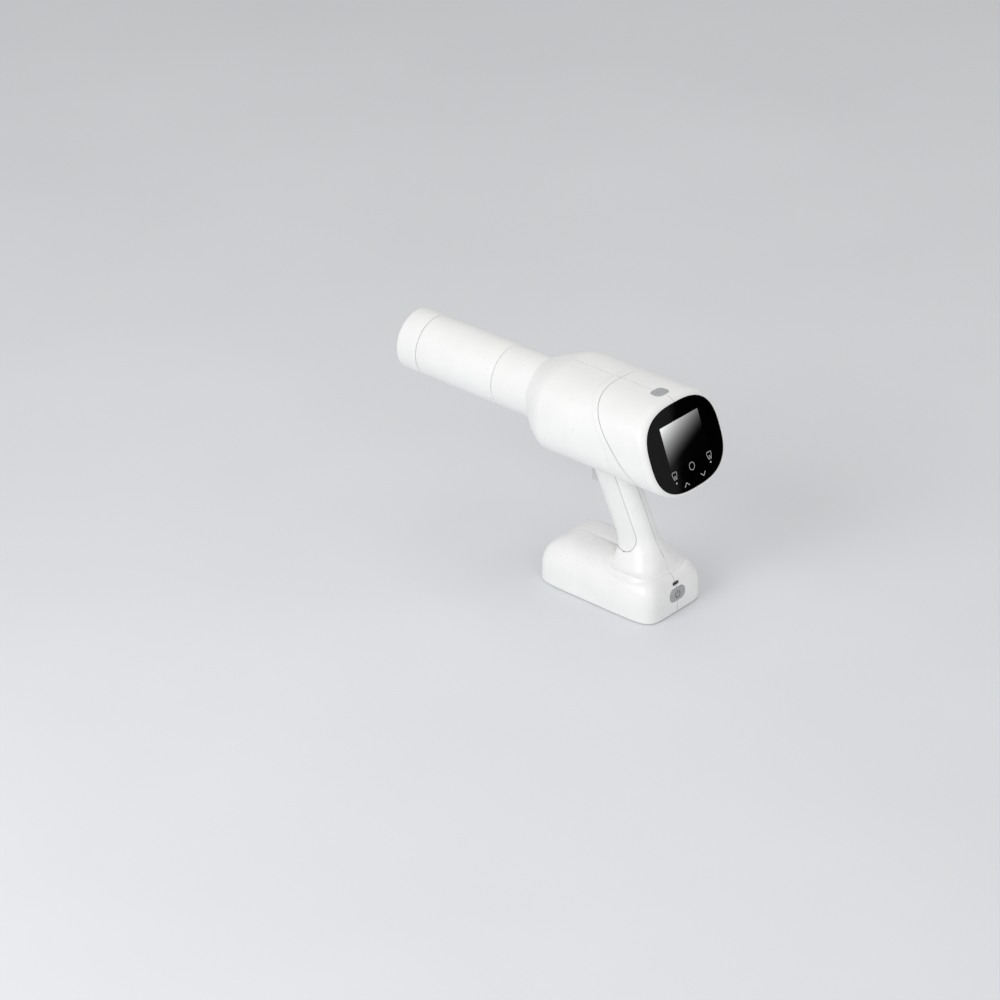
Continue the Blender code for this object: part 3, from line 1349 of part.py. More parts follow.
def power_button():
    """The power button in the back of the base."""
    middle = (0, 0, POWER_Z)
    inner_y = POWER_FLANGE_Y + POWER_FLANGE_THICKNESS
    cap = rounded_rectangle(POWER_HALF_WIDTH, POWER_HALF_HEIGHT, POWER_CORNER, 2*CORNER_STEPS)
    button = prism("power_button", cap, "Y", -BASE_HALF_LENGTH - OVERRUN, POWER_FLANGE_Y + GAP, middle)
    within(button, base_solid("face", -POWER_PROUD, RIM_Z))
    flange = rounded_rectangle(POWER_FLANGE_HALF_WIDTH, POWER_FLANGE_HALF_HEIGHT, POWER_FLANGE_THICKNESS)
    join(button, prism("flange", flange, "Y", POWER_FLANGE_Y, inner_y, middle),
         cylinder("stem", STEM_RADIUS, "Y", inner_y - GAP, inner_y + POWER_STEM_LENGTH, middle))
    finish(button, grey_key())
    recentre(button, (0, -BASE_HALF_LENGTH, POWER_Z))


def power_switch():
    tact_switch("power_switch", charge_board_back() - GAP, "Y", -1, (0, 0, POWER_Z))


def charge_board_back():
    return CHARGE_BOARD_Y - KEY_BOARD_THICKNESS


def charge_board():
    """The charging board, upright behind the port and the power button."""
    board = box("charge_board", (-CHARGE_BOARD_HALF_WIDTH, charge_board_back(), CHARGE_BOARD_LOW),
                (CHARGE_BOARD_HALF_WIDTH, CHARGE_BOARD_Y, CHARGE_BOARD_HIGH))
    finish(board, board_green())


def charging_port():
    """The charging socket: a flat round-ended shell with its contact tongue."""
    middle = (0, 0, PORT_Z)
    outline = rounded_rectangle(PORT_HALF_WIDTH, PORT_HALF_HEIGHT, PORT_HALF_HEIGHT - PORT_WALL)
    port = prism("charging_port", outline, "Y", PORT_MOUTH_Y, charge_board_back() - GAP, middle)
    cavity = rounded_rectangle(PORT_HALF_WIDTH - PORT_WALL, PORT_HALF_HEIGHT - PORT_WALL,
                               PORT_HALF_HEIGHT - 2*PORT_WALL)
    floor = PORT_MOUTH_Y + PORT_CAVITY_DEPTH
    cut(port, prism("cavity", cavity, "Y", PORT_MOUTH_Y - OVERRUN, floor, middle))
    tongue = Vector((PORT_TONGUE_HALF_WIDTH, 0, PORT_TONGUE_THICKNESS/2))
    place = Vector((0, floor, PORT_Z))
    join(port, box("tongue", place - tongue - Vector((0, PORT_TONGUE_LENGTH, 0)),
                   place + tongue + Vector((0, PORT_WALL, 0))))
    finish(port, steel())


def tray_floor():
    return RIM_Z + PLATE_THICKNESS + GAP


def cell_places():
    """X of each cell, and the cells' own height."""
    places = [(k - (CELL_COUNT - 1)/2)*CELL_PITCH for k in range(CELL_COUNT)]
    return places, tray_floor() + TRAY_WALL + GAP + CELL_RADIUS


def battery_cells():
    """The cells side by side."""
    places, z = cell_places()
    for k, x in enumerate(places):
        cell = cylinder(f"battery_cell_{k + 1}", CELL_RADIUS, "Y", CELL_BACK_Y, CELL_BACK_Y + CELL_LENGTH,
                        (x, 0, z), 2*SMALL_STEPS)
        finish(cell, cell_sleeve(), True)


def battery_tray():
    """The tray, with a cradle for each cell."""
    places, z = cell_places()
    floor = tray_floor()
    back = CELL_BACK_Y - GAP
    front = CELL_BACK_Y + CELL_LENGTH + GAP
    half_width = places[-1] + CELL_RADIUS + GAP
    tray = box("battery_tray", (-half_width, back - TRAY_WALL, floor),
               (half_width, front + TRAY_WALL, floor + TRAY_HEIGHT))
    for x in places:
        cut(tray, cylinder("cradle", CELL_RADIUS + GAP, "Y", back, front, (x, 0, z), 2*SMALL_STEPS))
    finish(tray, inner_plastic())


def battery_board():
    """The board that guards the cells, on the plate's rails."""
    low = RIM_Z + PLATE_THICKNESS + BATTERY_RAIL_HEIGHT + GAP
    board = box("battery_board", (-BATTERY_BOARD_HALF_WIDTH, BATTERY_BOARD_BACK_Y, low),
                (BATTERY_BOARD_HALF_WIDTH, BATTERY_BOARD_BACK_Y + BATTERY_BOARD_LENGTH, low + BOARD_THICKNESS))
    finish(board, board_green())


def smooth_route(points, steps):
    """A Catmull-Rom curve through points, with steps pieces between each two."""
    places = [Vector(point) for point in points]
    ends = [2*places[0] - places[1]] + places + [2*places[-1] - places[-2]]
    route = []
    for a, b, c, d in zip(ends, ends[1:], ends[2:], ends[3:]):
        for k in range(steps):
            t = k/steps
            route.append((2*b + (c - a)*t + (2*a - 5*b + 4*c - d)*t**2 + (3*b - a - 3*c + d)*t**3)/2)
    return route + [places[-1]]


def power_lead():
    """The lead from the battery board up through the grip to the driver board."""
    wire("power_lead", smooth_route(LEAD_ROUTE, LEAD_STEPS), LEAD_RADIUS, 2, red_sleeve())


def build():
    clear_scene()
    for make in (
            housing, rear_covers, grip_cover, screws, base_plate, anti_slip_pad,
            cone_collar, cone_tube, cone_liner, cone_end_ring, exit_window, beam_filter, collimator,
            tank_body, tank_gasket, tank_lid, xray_tube_glass, xray_tube_anode, xray_tube_cathode,
            transformer_core, transformer_winding, driver_board,
            display_glass, lcd_module, display_frame, main_board, buzzer,
            top_button, top_button_switch, top_button_board, top_button_spring,
            trigger, trigger_switch, power_button, power_switch, charge_board, charging_port,
            battery_cells, battery_tray, battery_board, power_lead):
        make()


build()
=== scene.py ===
"""Handheld dental x-ray unit, dressed for the render. Lengths here are in millimetres unless said otherwise."""

from math import cos, pi, radians, sin, tan

import bmesh
import bpy
import numpy as np
from mathutils import Matrix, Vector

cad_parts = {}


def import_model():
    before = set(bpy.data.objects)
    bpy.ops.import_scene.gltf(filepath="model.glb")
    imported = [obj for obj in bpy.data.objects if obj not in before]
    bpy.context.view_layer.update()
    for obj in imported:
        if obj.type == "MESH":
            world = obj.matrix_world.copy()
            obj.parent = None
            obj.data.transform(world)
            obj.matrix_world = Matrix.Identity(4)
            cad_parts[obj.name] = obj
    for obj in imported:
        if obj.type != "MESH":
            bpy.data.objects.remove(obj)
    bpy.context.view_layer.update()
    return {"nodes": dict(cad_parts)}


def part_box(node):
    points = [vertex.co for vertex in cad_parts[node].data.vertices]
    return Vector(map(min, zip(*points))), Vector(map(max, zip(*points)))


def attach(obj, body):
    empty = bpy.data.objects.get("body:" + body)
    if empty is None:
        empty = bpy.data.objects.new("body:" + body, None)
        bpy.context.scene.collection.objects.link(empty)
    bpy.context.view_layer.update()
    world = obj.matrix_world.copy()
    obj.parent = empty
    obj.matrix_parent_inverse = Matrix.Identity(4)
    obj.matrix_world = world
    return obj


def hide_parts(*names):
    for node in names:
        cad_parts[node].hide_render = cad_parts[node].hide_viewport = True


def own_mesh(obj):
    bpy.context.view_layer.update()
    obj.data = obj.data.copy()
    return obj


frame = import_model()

MM = 0.001
GAP = 0.3                  # between neighbouring mouldings
HALF_GAP = GAP/2
PART = 0.09                # from the mid-plane to each half: drawn tight by the screws
OVERRUN = 6.0              # how far cutters run past what they cut
EDGE = 0.6                 # radius on the parting edges of the mouldings
EDGE_LINES = np.array((0, 0.05, 0.12, 0.2, 0.3, 0.42, 0.6, 0.9, 1.4))    # lines drawn at an edge
SIDE_STEPS, SMALL_STEPS, ROUND_STEPS, CORNER_STEPS = 112, 24, 192, 12
RECESS_LINES = 0, 0.3, 0.7, 1.4    # wider apart: a cutter must not cross itself
FAR = 1e3                  # a distance beyond every edge
SHADE_WIDE, SHADE_THIN = 0.21, 0.09    # how far the painted shade of a gap reaches over its edges
SHARP = radians(35)
# Looks of the shells: white plastic, and painted shade on the walls of their gaps and the strips beside them
SHELL_LOOKS = "white_plastic", "gap_shade"

# Body and rear panel
AXIS_Z = 188.5
BODY_A, BODY_B, BODY_N = 57.4, 45.2, 2.68
BODY_WALL = 3.0
FLARE_START, FLARE_END, FLARE_RADIUS = 57.4, 92.4, 34.5
FLARE_POWER, FLARE_N_POWER = 1.4, 0.62
NOSE_BACK = 77.3
SEAM_Y, SEAM_TILT = -36.6, radians(39.5)
SEAM_SLOPE = tan(SEAM_TILT)
PANEL_Y, PANEL_TILT = -79.6, radians(20.4)
RIM_DEPTH, RIM_INSET = 7.2, 4.9
GLASS_INSET, GLASS_N, GLASS_THICKNESS, GLASS_EDGE = 5.45, 2.76, 2.0, 0.6
LEDGE_WIDTH, LEDGE_THICKNESS = 4.5, 2.0
SCREEN_A, SCREEN_LOW, SCREEN_HIGH = 28.4, -16.8, 26.4
# Painted reflection on the display area: a glowing gradient across and up it, raised to a power, at this strength
SCREEN_ACROSS, SCREEN_UP, SCREEN_POWER, SCREEN_PAINTED_GLOW = (0.0, -0.56), (0.03, 1.05), 2.2, 0.17

# Soft crease ahead of the slanted seam
CREASE_NEAR, CREASE_GROWTH, CREASE_TOP_Z = 8.0, 0.0098, 205.0
CREASE_STEP, CREASE_SOFT, CREASE_FADE = 0.7, 1.8, 34.0

# Cone, all round the beam axis
COLLAR_RADIUS, COLLAR_BORE, COLLAR_FRONT, COLLAR_BACK = 32.2, 27.5, 140.0, 74.0
FLANGE_RADIUS, SEAT_RADIUS, SEAT_DEPTH = 36.5, 29.5, 6.0
SPIGOT_RADIUS, SPIGOT_BORE, SPIGOT_LENGTH = 29.7, 27.9, 22.0
CONE_RADIUS, CONE_WALL, CONE_TIP, RING_LENGTH = 32.0, 2.2, 266.2, 25.5
LIP, LIP_BORE, LINER = 3.7, 27.5, 0.6

# Grip and base
GRIP_A, GRIP_B, GRIP_N = 16.6, 23.0, 2.2
GRIP_SLOPE, GRIP_Y, GRIP_Z, GRIP_TOP = tan(radians(25.45)), -8.4, 100.0, 152.0
GRIP_WALL = 3.4
FOOT_TOP, FOOT_Z, FOOT_Y, FOOT_A, FOOT_B, FOOT_N, FOOT_POWER = 74.0, 43.0, -32.0, 33.0, 30.0, 3.4, 2.0
FOOT_LOW = 33.0
SKIRT, SKIRT_DIP, PAD_Z, PAD_FALL, PAD_BLEND = 4.5, 3.5, 43.2, 0.6, 4.0
CROWN_BLEND, CROWN_SUNK = 1.6, 0.3
GROOVE_DEPTH, GROOVE_REACH, GROOVE_OUT = 1.0, 2.4, 1.4
COVER_WRAP, COVER_LOW, COVER_CORNER, COVER_THICKNESS, COVER_ROOM = 12.0, 58.0, 20.0, 1.6, 4.0
COVER_FREE = FOOT_TOP + 6.0    # above this the cover's top follows the body
BASE_A, BASE_B, BASE_N, BASE_HEIGHT = 43.4, 73.5, 7.0, 48.0
SHOULDER, SHOULDER_N, BASE_WALL, RIM_Z = 36.0, 2.73, 2.8, 0.6
PLATE_THICKNESS = 2.6

# Inside: ribs beside the tank, saddles under it, posts in the base and over the top button's board
RIB_SPAN, RIB_HALF, RIB_PLACES, RIB_WALL = (33.3, BODY_A + OVERRUN), 22.0, (2.0, 45.0), 2.5
SADDLE_SPAN, SADDLE_TOP, SADDLE_PLACES = (14.0, 26.0), -28.8, (-21.5, 52.0)
POST_X, POST_Y, BUTTON_POST_X, BUTTON_POST = 32.0, 60.0, 14.0, 2.5

# Controls
TRIGGER_A, TRIGGER_LOW, TRIGGER_HIGH, TRIGGER_LIP = 6.0, 113.4, 138.7, 4.2
TRIGGER_FRONT, TRIGGER_RAKE, TRIGGER_BACK, TRIGGER_EDGE, TRIGGER_ROUND = 32.5, 6.0, 17.5, 0.6, 1.4
TRIGGER_RIB, TRIGGER_PITCH = 0.14, 1.9
TRIGGER_FLANGE_A, TRIGGER_FLANGE, TRIGGER_FLANGE_INSET = 7.6, 3.3, 2.6
BUTTON_Y, BUTTON_A, BUTTON_B, BUTTON_CORNER, BUTTON_PROUD = -47.0, 8.6, 6.4, 5.0, 0.4
BUTTON_STEM, BUTTON_FLANGE, BUTTON_EDGE, BUTTON_CROWN, BUTTON_PLAY = 2.0, 1.5, 0.5, 0.25, 0.5
SPRING_RADIUS, SPRING_WIRE, SPRING_TURNS = 5.5, 0.4, 5
POWER_Z, POWER_A, POWER_B, POWER_CORNER, POWER_PROUD = 20.6, 11.5, 6.75, 6.4, 0.4
POWER_EDGE, POWER_BACK, POWER_FLANGE_A, POWER_FLANGE_B, POWER_FLANGE = 0.6, -68.6, 13.2, 5.0, (-68.9, -67.7)
POWER_PIN, POWER_PIN_FRONT = 2.0, (-68.0, -66.9)
PORT_Z, PORT_A, PORT_B, PORT_END = 31.6, 4.5, 1.6, -58.6
INK_HIGH, INK_LOW = -0.03, 0.2    # depths of a printed line's face and foot
SHELL_SCREWS = ((-32.0, 168.0), (60.0, 153.0), (61.5, 221.7), (-20.0, 92.0), (50.0, 30.0), (-46.0, 30.0))
REAR_SCREWS = ((-28.0, 211.0), (-67.0, 166.0))
SCREW_MOUTH, SCREW_BORE, SCREW_SEAT, SCREW_REACH, BOSS = 3.1, 1.8, 8.0, -8.3, 4.0


# Colour and materials

def linear(code):
    """An sRGB hex colour turned linear."""
    values = [int(code[k:k + 2], 16)/255 for k in (1, 3, 5)]
    return [v/12.92 if v <= 0.04045 else ((v + 0.055)/1.055)**2.4 for v in values] + [1.0]


def node(tree, kind, links=(), **settings):
    """Adds a node. Settings go to its inputs by name, or else to its properties; links are (input's name or
    number, socket)."""
    made = tree.nodes.new(kind)
    for name, value in settings.items():
        plain = name.replace("_", " ").lower()
        found = [s for s in made.inputs if s.name.lower() == plain]
        if found:
            found[0].default_value = value
        else:
            setattr(made, name, value)
    for name, socket in links:
        tree.links.new(socket, made.inputs[name])
    return made


def principled(name, colour, roughness, metallic=0.0, **sockets):
    """A material with one Principled shader; sockets are its other inputs."""
    made = bpy.data.materials.new(name)
    made.use_nodes = True
    main = made.node_tree.nodes["Principled BSDF"]
    main.inputs["Base Color"].default_value = linear(colour)
    main.inputs["Roughness"].default_value = roughness
    main.inputs["Metallic"].default_value = metallic
    for socket, value in sockets.items():
        main.inputs[socket.replace("_", " ")].default_value = value
    place = node(made.node_tree, "ShaderNodeTexCoord").outputs["Object"]
    return made, made.node_tree, main, place


def patches(tree, place, size, low, high, detail=3.0):
    """A value that wanders between low and high over patches of the size."""
    noise = node(tree, "ShaderNodeTexNoise", [("Vector", place)], Scale=1/(size*MM), Detail=detail)
    return node(tree, "ShaderNodeMapRange", [("Value", noise.outputs["Fac"])], From_Min=0.3, From_Max=0.7,
                To_Min=low, To_Max=high).outputs["Result"]


def grain(tree, main, place, size, depth, strength=1.0, detail=2.0):
    """Fine bumps of the size across and the depth high."""
    noise = node(tree, "ShaderNodeTexNoise", [("Vector", place)], Scale=1/(size*MM), Detail=detail)
    bump = node(tree, "ShaderNodeBump", [("Height", noise.outputs["Fac"])], Strength=strength,
                Distance=depth*MM)
    tree.links.new(bump.outputs["Normal"], main.inputs["Normal"])


def tint(tree, main, share, dark, light):
    """The base colour runs from dark to light with a share."""
    mix = node(tree, "ShaderNodeMix", [("Factor", share)], data_type="RGBA")
    mix.inputs[6].default_value = linear(dark)
    mix.inputs[7].default_value = linear(light)
    tree.links.new(mix.outputs[2], main.inputs["Base Color"])


def mottled(name, dark, light, patch, roughness, spread, grain_size, depth, **sockets):
    """A surface whose colour and roughness wander a little, over a fine grain."""
    made, tree, main, place = principled(name, light, roughness, **sockets)
    tint(tree, main, patches(tree, place, patch, 0, 1), dark, light)
    rough = patches(tree, place, patch/3, roughness - spread, roughness + spread)
    tree.links.new(rough, main.inputs["Roughness"])
    grain(tree, main, place, grain_size, depth)
    return made


def drawn_metal(name, colour, roughness, along):
    """Metal whose fine lines run along the axis in which the pattern is stretched."""
    made, tree, main, place = principled(name, colour, roughness, 1.0)
    stretched = node(tree, "ShaderNodeMapping", [("Vector", place)], Scale=along).outputs["Vector"]
    noise = node(tree, "ShaderNodeTexNoise", [("Vector", stretched)], Scale=2500.0, Detail=3.0).outputs["Fac"]
    rough = node(tree, "ShaderNodeMapRange", [("Value", noise)], To_Min=roughness - 0.08,
                 To_Max=roughness + 0.1)
    tree.links.new(rough.outputs["Result"], main.inputs["Roughness"])
    bump = node(tree, "ShaderNodeBump", [("Height", noise)], Strength=0.4, Distance=0.01*MM)
    tree.links.new(bump.outputs["Normal"], main.inputs["Normal"])
    return made


def make_looks():
    """Every material by its slot name, with what it gives the eye."""
    return {
        # White ABS moulding: clean satin white, the faint orange peel of a polished mould
        "white_plastic": mottled("moulded_abs", "#efefee", "#f3f3f2", 30, 0.30, 0.03, 0.9, 0.004),
        # The grip's front cover: the same plastic, a touch greyer
        "cover_plastic": mottled("moulded_abs_greyer", "#e9e9e8", "#eeeeed", 30, 0.34, 0.03, 0.9, 0.004),
        # Walls of the narrow gaps between mouldings and the strips along their edges: painted shade, the plastic
        # darkened to grey
        "gap_shade": mottled("abs_painted_gap_shade", "#a0a09f", "#acacab", 8, 0.6, 0.05, 0.4, 0.004),
        # Filled nylon inside: duller and yellower
        "inner_plastic": mottled("filled_nylon", "#cfccc2", "#d8d5cb", 18, 0.55, 0.05, 0.4, 0.02),
        # Grey keys: soft matt thermoplastic
        "grey_key": mottled("grey_thermoplastic", "#a6a7a8", "#b0b1b2", 9, 0.48, 0.04, 0.25, 0.012),
        # Trigger: the same, moulded in a lighter grey
        "light_key": mottled("pale_grey_thermoplastic", "#c2c3c4", "#cacbcc", 9, 0.48, 0.04, 0.25, 0.012),
        # Back-printed cover glass: black with a crisp but weak sheen
        "black_glass": mottled("back_printed_glass", "#010101", "#030303", 25, 0.07, 0.02, 2.5, 0.0008,
                               Specular_IOR_Level=0.19),
        # Rubber foot: black, dull and slightly dusty
        "black_rubber": mottled("moulded_rubber", "#161616", "#1f1f1f", 12, 0.8, 0.06, 0.3, 0.03),
        # Solder mask over fibreglass: green with the weave just showing
        "board_green": mottled("solder_mask", "#0e4424", "#15592f", 6, 0.38, 0.06, 0.5, 0.01),
        # Zinc-plated screws
        "steel": drawn_metal("zinc_plated_steel", "#b9bbbd", 0.3, (1.0, 1.0, 0.15)),
        # Rolled aluminium
        "aluminium": drawn_metal("rolled_aluminium", "#c9cbce", 0.36, (0.08, 1.0, 1.0)),
        # Lead sheet: dark, soft and blotched by its oxide
        "lead": mottled("lead_sheet", "#4b4e52", "#6a6d71", 5, 0.5, 0.1, 0.6, 0.03, metallic=0.9),
        # Enamelled copper
        "copper": drawn_metal("enamelled_copper", "#b5672f", 0.32, (1.0, 0.1, 1.0)),
        # Glass envelope
        "clear_glass": mottled("borosilicate_glass", "#f4f8f7", "#ffffff", 20, 0.03, 0.01, 3.0, 0.001,
                               Transmission_Weight=1.0),
        # Shrink sleeve of the cells: blue film, slightly glossy
        "cell_sleeve": mottled("pvc_shrink_film", "#1f4f8f", "#2a5fa3", 10, 0.3, 0.05, 1.0, 0.01),
        # Ferrite core: near black ceramic
        "ferrite": mottled("sintered_ferrite", "#252423", "#32302e", 3, 0.6, 0.08, 0.3, 0.02),
        # Display module: dark polariser
        "lcd_black": mottled("polariser_film", "#0d0e10", "#15171a", 12, 0.25, 0.04, 0.8, 0.002),
        # Silicone lead sleeve
        "red_sleeve": mottled("silicone_sleeve", "#8e1714", "#a51f1b", 5, 0.45, 0.05, 0.5, 0.01),
        # Black flocked card beside the set
        "flag": mottled("black_flock", "#010101", "#020202", 40, 0.95, 0.03, 0.5, 0.01, Specular_IOR_Level=0.0),
        # Painted floor: pale and almost even
        "floor": floor_look(),
        # Display area under the glass: a painted reflection, a gradient that glows
        "screen": screen_painted_reflection_look(),
        "print_grey": mottled("grey_screen_ink", "#b4b4b4", "#c2c2c2", 2, 0.4, 0.05, 0.2, 0.002),
        "print_dark": mottled("dark_screen_ink", "#4c4e50", "#585a5c", 2, 0.5, 0.05, 0.2, 0.002),
    }


def floor_look():
    """The floor's paint, with slow changes of tone and a faint grain."""
    made, tree, main, place = principled("painted_floor", "#d3d6da", 0.6)
    tint(tree, main, patches(tree, place, 400, 0, 1), "#e0e2e5", "#e4e6e9")
    grain(tree, main, place, 1.5, 0.02)
    return made


def screen_painted_reflection_look():
    """Display area behind the glass, with a painted reflection that glows: pale at the upper left, and darker by even
    steps to the eye (a straight slope raised to 2.2) until it is black at the lower right."""
    made, tree, main, place = principled("lcd_panel_painted_reflection", "#808080", 0.07, Specular_IOR_Level=0.19)
    parts = node(tree, "ShaderNodeSeparateXYZ", [("Vector", place)]).outputs
    low, high = (AXIS_Z + edge*cos(PANEL_TILT) for edge in (SCREEN_LOW, SCREEN_HIGH))
    slopes = [node(tree, "ShaderNodeMapRange", [("Value", parts[axis])], From_Min=start*MM, From_Max=end*MM,
                   To_Min=first, To_Max=last).outputs["Result"]
              for axis, start, end, (first, last) in (("X", -SCREEN_A, SCREEN_A, SCREEN_ACROSS),
                                                      ("Z", low, high, SCREEN_UP))]
    even = node(tree, "ShaderNodeMath", enumerate(slopes), operation="ADD", use_clamp=True)
    seen = node(tree, "ShaderNodeMath", [(0, even.outputs[0])], operation="POWER", use_clamp=True)
    seen.inputs[1].default_value = SCREEN_POWER
    share = node(tree, "ShaderNodeMath", [(0, seen.outputs[0]), (1, patches(tree, place, 1.2, 0.0, 0.002))],
                 operation="ADD", use_clamp=True)
    tint(tree, main, share.outputs[0], "#000000", "#fafafa")
    # painted reflection: the same gradient also glows
    tree.links.new(main.inputs["Base Color"].links[0].from_socket, main.inputs["Emission Color"])
    main.inputs["Emission Strength"].default_value = SCREEN_PAINTED_GLOW
    return made


# Meshes

def put(name, points, faces, *looks, second=None):
    """A mesh object from points in millimetres and the names of its looks, with its faces outwards and smooth
    between sharp edges. Faces from the second's number on take the second look."""
    mesh = bpy.data.meshes.new(name)
    mesh.from_pydata((np.asarray(points, float)*MM).tolist(), [], faces)
    if second is not None:
        mesh.polygons.foreach_set("material_index", (np.arange(len(faces)) >= second).astype(np.int32))
    for look in looks:
        mesh.materials.append(LOOKS[look])
    turn_outwards(mesh)
    shade(mesh)
    piece = bpy.data.objects.new(name, mesh)
    bpy.context.scene.collection.objects.link(piece)
    return piece


def turn_outwards(mesh):
    """Closes the seams and turns every face outwards."""
    bm = bmesh.new()
    bm.from_mesh(mesh)
    bmesh.ops.remove_doubles(bm, verts=bm.verts, dist=0.0008*MM)
    bmesh.ops.recalc_face_normals(bm, faces=bm.faces)
    bm.to_mesh(mesh)
    bm.free()


def shade(mesh):
    """Smooth but for its sharp edges."""
    mesh.shade_smooth()
    mesh.set_sharp_from_angle(angle=SHARP)


def shaded(tool):
    """A cutter whose cut faces take the painted shade of a narrow gap."""
    for look in SHELL_LOOKS:
        tool.data.materials.append(LOOKS[look])
    tool.data.polygons.foreach_set("material_index", np.ones(len(tool.data.polygons), np.int32))
    return tool


def shade_gaps(piece, *planes):
    """Painted shade, the gap_shade look, for the faces of a piece near its parting planes, each given as a point, a
    normal and a reach."""
    mesh = piece.data
    if len(mesh.materials) < 2:
        mesh.materials.append(LOOKS["gap_shade"])
    count = len(mesh.polygons)
    middle, index = np.empty(3*count), np.empty(count, np.int32)
    mesh.polygons.foreach_get("center", middle)
    mesh.polygons.foreach_get("material_index", index)
    for point, way, reach in planes:
        index[np.abs((middle.reshape(-1, 3)/MM - point) @ way) < reach] = 1
    mesh.polygons.foreach_set("material_index", index)
    return piece


def seat(piece, node_name, body="unit"):
    """Rides the piece on a body, in place of a CAD node, which it hides."""
    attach(piece, body)
    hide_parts(node_name)
    return piece


def grid_faces(rows, columns, wrap=False, wrap_rows=False):
    """Quads between neighbouring points of a grid stored row by row."""
    i = np.arange(rows if wrap_rows else rows - 1)[:, None]
    j = np.arange(columns if wrap else columns - 1)[None, :]
    near = i*columns + j
    beside = i*columns + (j + 1) % columns
    far = (i + 1) % rows*columns
    return np.stack([near, beside, far + (j + 1) % columns, far + j], -1).reshape(-1, 4)


def loft(name, rings, *looks):
    """Rings of equally many points joined side by side, with a flat cap on each end."""
    rings = np.asarray(rings, float)
    rows, columns = rings.shape[:2]
    faces = grid_faces(rows, columns, True).tolist()
    faces.append(list(range(columns))[::-1])
    faces.append(list(range((rows - 1)*columns, rows*columns)))
    return put(name, rings.reshape(-1, 3), faces, *looks)


def shell(name, outer, inner, *looks):
    """Two grids of one shape joined along their four borders; the borders take the second look."""
    rows, columns = outer.shape[:2]
    size = rows*columns
    faces = grid_faces(rows, columns)
    index = np.arange(size).reshape(rows, columns)
    border = np.concatenate([index[0, :-1], index[:-1, -1], index[-1, :0:-1], index[:0:-1, 0]])
    following = np.roll(border, -1)
    rim = np.stack([following, border, border + size, following + size], -1)
    every = np.concatenate([faces, faces[:, ::-1] + size, rim]).tolist()
    return put(name, np.concatenate([outer.reshape(-1, 3), inner.reshape(-1, 3)]), every, *looks,
               second=2*len(faces))


def carve(piece, tools, operation="DIFFERENCE"):
    """One exact Boolean of the piece with all its tools, which are used up."""
    group = bpy.data.collections.new("tools")
    for tool in tools:
        group.objects.link(tool)
    change = piece.modifiers.new("carve", "BOOLEAN")
    change.solver = "EXACT"
    change.operation = operation
    change.operand_type = "COLLECTION"
    change.collection = group
    view = bpy.context.evaluated_depsgraph_get()
    made = bpy.data.meshes.new_from_object(piece.evaluated_get(view))
    piece.modifiers.clear()
    piece.data = made
    bpy.data.collections.remove(group)
    for tool in tools:
        bpy.data.objects.remove(tool, do_unlink=True)
    shade(made)
    return piece


def prism(outline, axis, start, end, middle=(0, 0, 0)):
    """A cutter: an outline in the other two directions drawn along an axis."""
    order = {"X": (2, 0, 1), "Y": (0, 2, 1), "Z": (0, 1, 2)}[axis]
    return loft("cutter", [at_level(outline, level)[:, order] + middle for level in (start, end)])


def at_level(outline, level):
    """A flat outline with one height, or a height for each point."""
    return np.column_stack([outline, np.broadcast_to(level, len(outline))])


def circle(radius, middle=(0, 0), count=64):
    """Points of a circle."""
    angle = np.linspace(0, 2*pi, count, endpoint=False)
    return np.column_stack([middle[0] + radius*np.cos(angle), middle[1] + radius*np.sin(angle)])


def rod(radius, axis, start, end, middle, steps=48):
    """A round cutter."""
    return prism(circle(radius, count=steps), axis, start, end, middle)


def block(low, high):
    """A square cutter between two corners."""
    (x, y, bottom), (far_x, far_y, top) = low, high
    return prism(np.array([(x, y), (far_x, y), (far_x, far_y), (x, far_y)], float), "Z", bottom, top)


def rounded_outline(a, b, radius, steps=10):
    """A rectangle of half sizes a and b with round corners, anticlockwise from the middle of its right side."""
    angle = (np.arange(4)[:, None]*pi/2 + np.linspace(0, pi/2, steps + 1)).ravel()
    sx = np.repeat([1, -1, -1, 1], steps + 1)
    sy = np.repeat([1, 1, -1, -1], steps + 1)
    return np.column_stack([sx*(a - radius) + radius*np.cos(angle), sy*(b - radius) + radius*np.sin(angle)])


def oval(a, b, n, t):
    """Point of |x/a|^n + |w/b|^n = 1 at parameter t, which is 0 on +w, a quarter turn on +x."""
    s, c = np.sin(t), np.cos(t)
    return a*np.sign(s)*np.abs(s)**(2/n), b*np.sign(c)*np.abs(c)**(2/n)


def seen_at(a, b, n, theta):
    """Point of the same oval that is seen from its middle at the angle theta from +w."""
    s, c = np.sin(theta), np.cos(theta)
    reach = (np.abs(s/a)**n + np.abs(c/b)**n)**(-1/n)
    return reach*s, reach*c


def traced(a, b, n, turn, count):
    """Close points of the oval from +w on, and how far along it each one lies."""
    x, w = seen_at(a, b, n, np.linspace(0, turn, count))
    return x, w, np.concatenate([[0], np.cumsum(np.hypot(np.diff(x), np.diff(w)))])


def half_steps(a, b, n, count):
    """Parameters from +w round to -w, evenly spaced along the oval, with close lines at both ends."""
    x, w, length = traced(a, b, n, pi, 60001)
    t = np.arctan2(np.abs(x/a)**(n/2), np.sign(w)*np.abs(w/b)**(n/2))
    middle = np.linspace(EDGE_LINES[-1], length[-1] - EDGE_LINES[-1], count)[1:-1]
    return np.interp(np.concatenate([EDGE_LINES, middle, length[-1] - EDGE_LINES[::-1]]), length, t)


def whole_oval(a, b, n, count):
    """The whole oval, evenly spaced."""
    x, w, length = traced(a, b, n, 2*pi, 20001)
    even = np.linspace(0, length[-1], count, endpoint=False)
    return np.column_stack([np.interp(even, length, x), np.interp(even, length, w)])


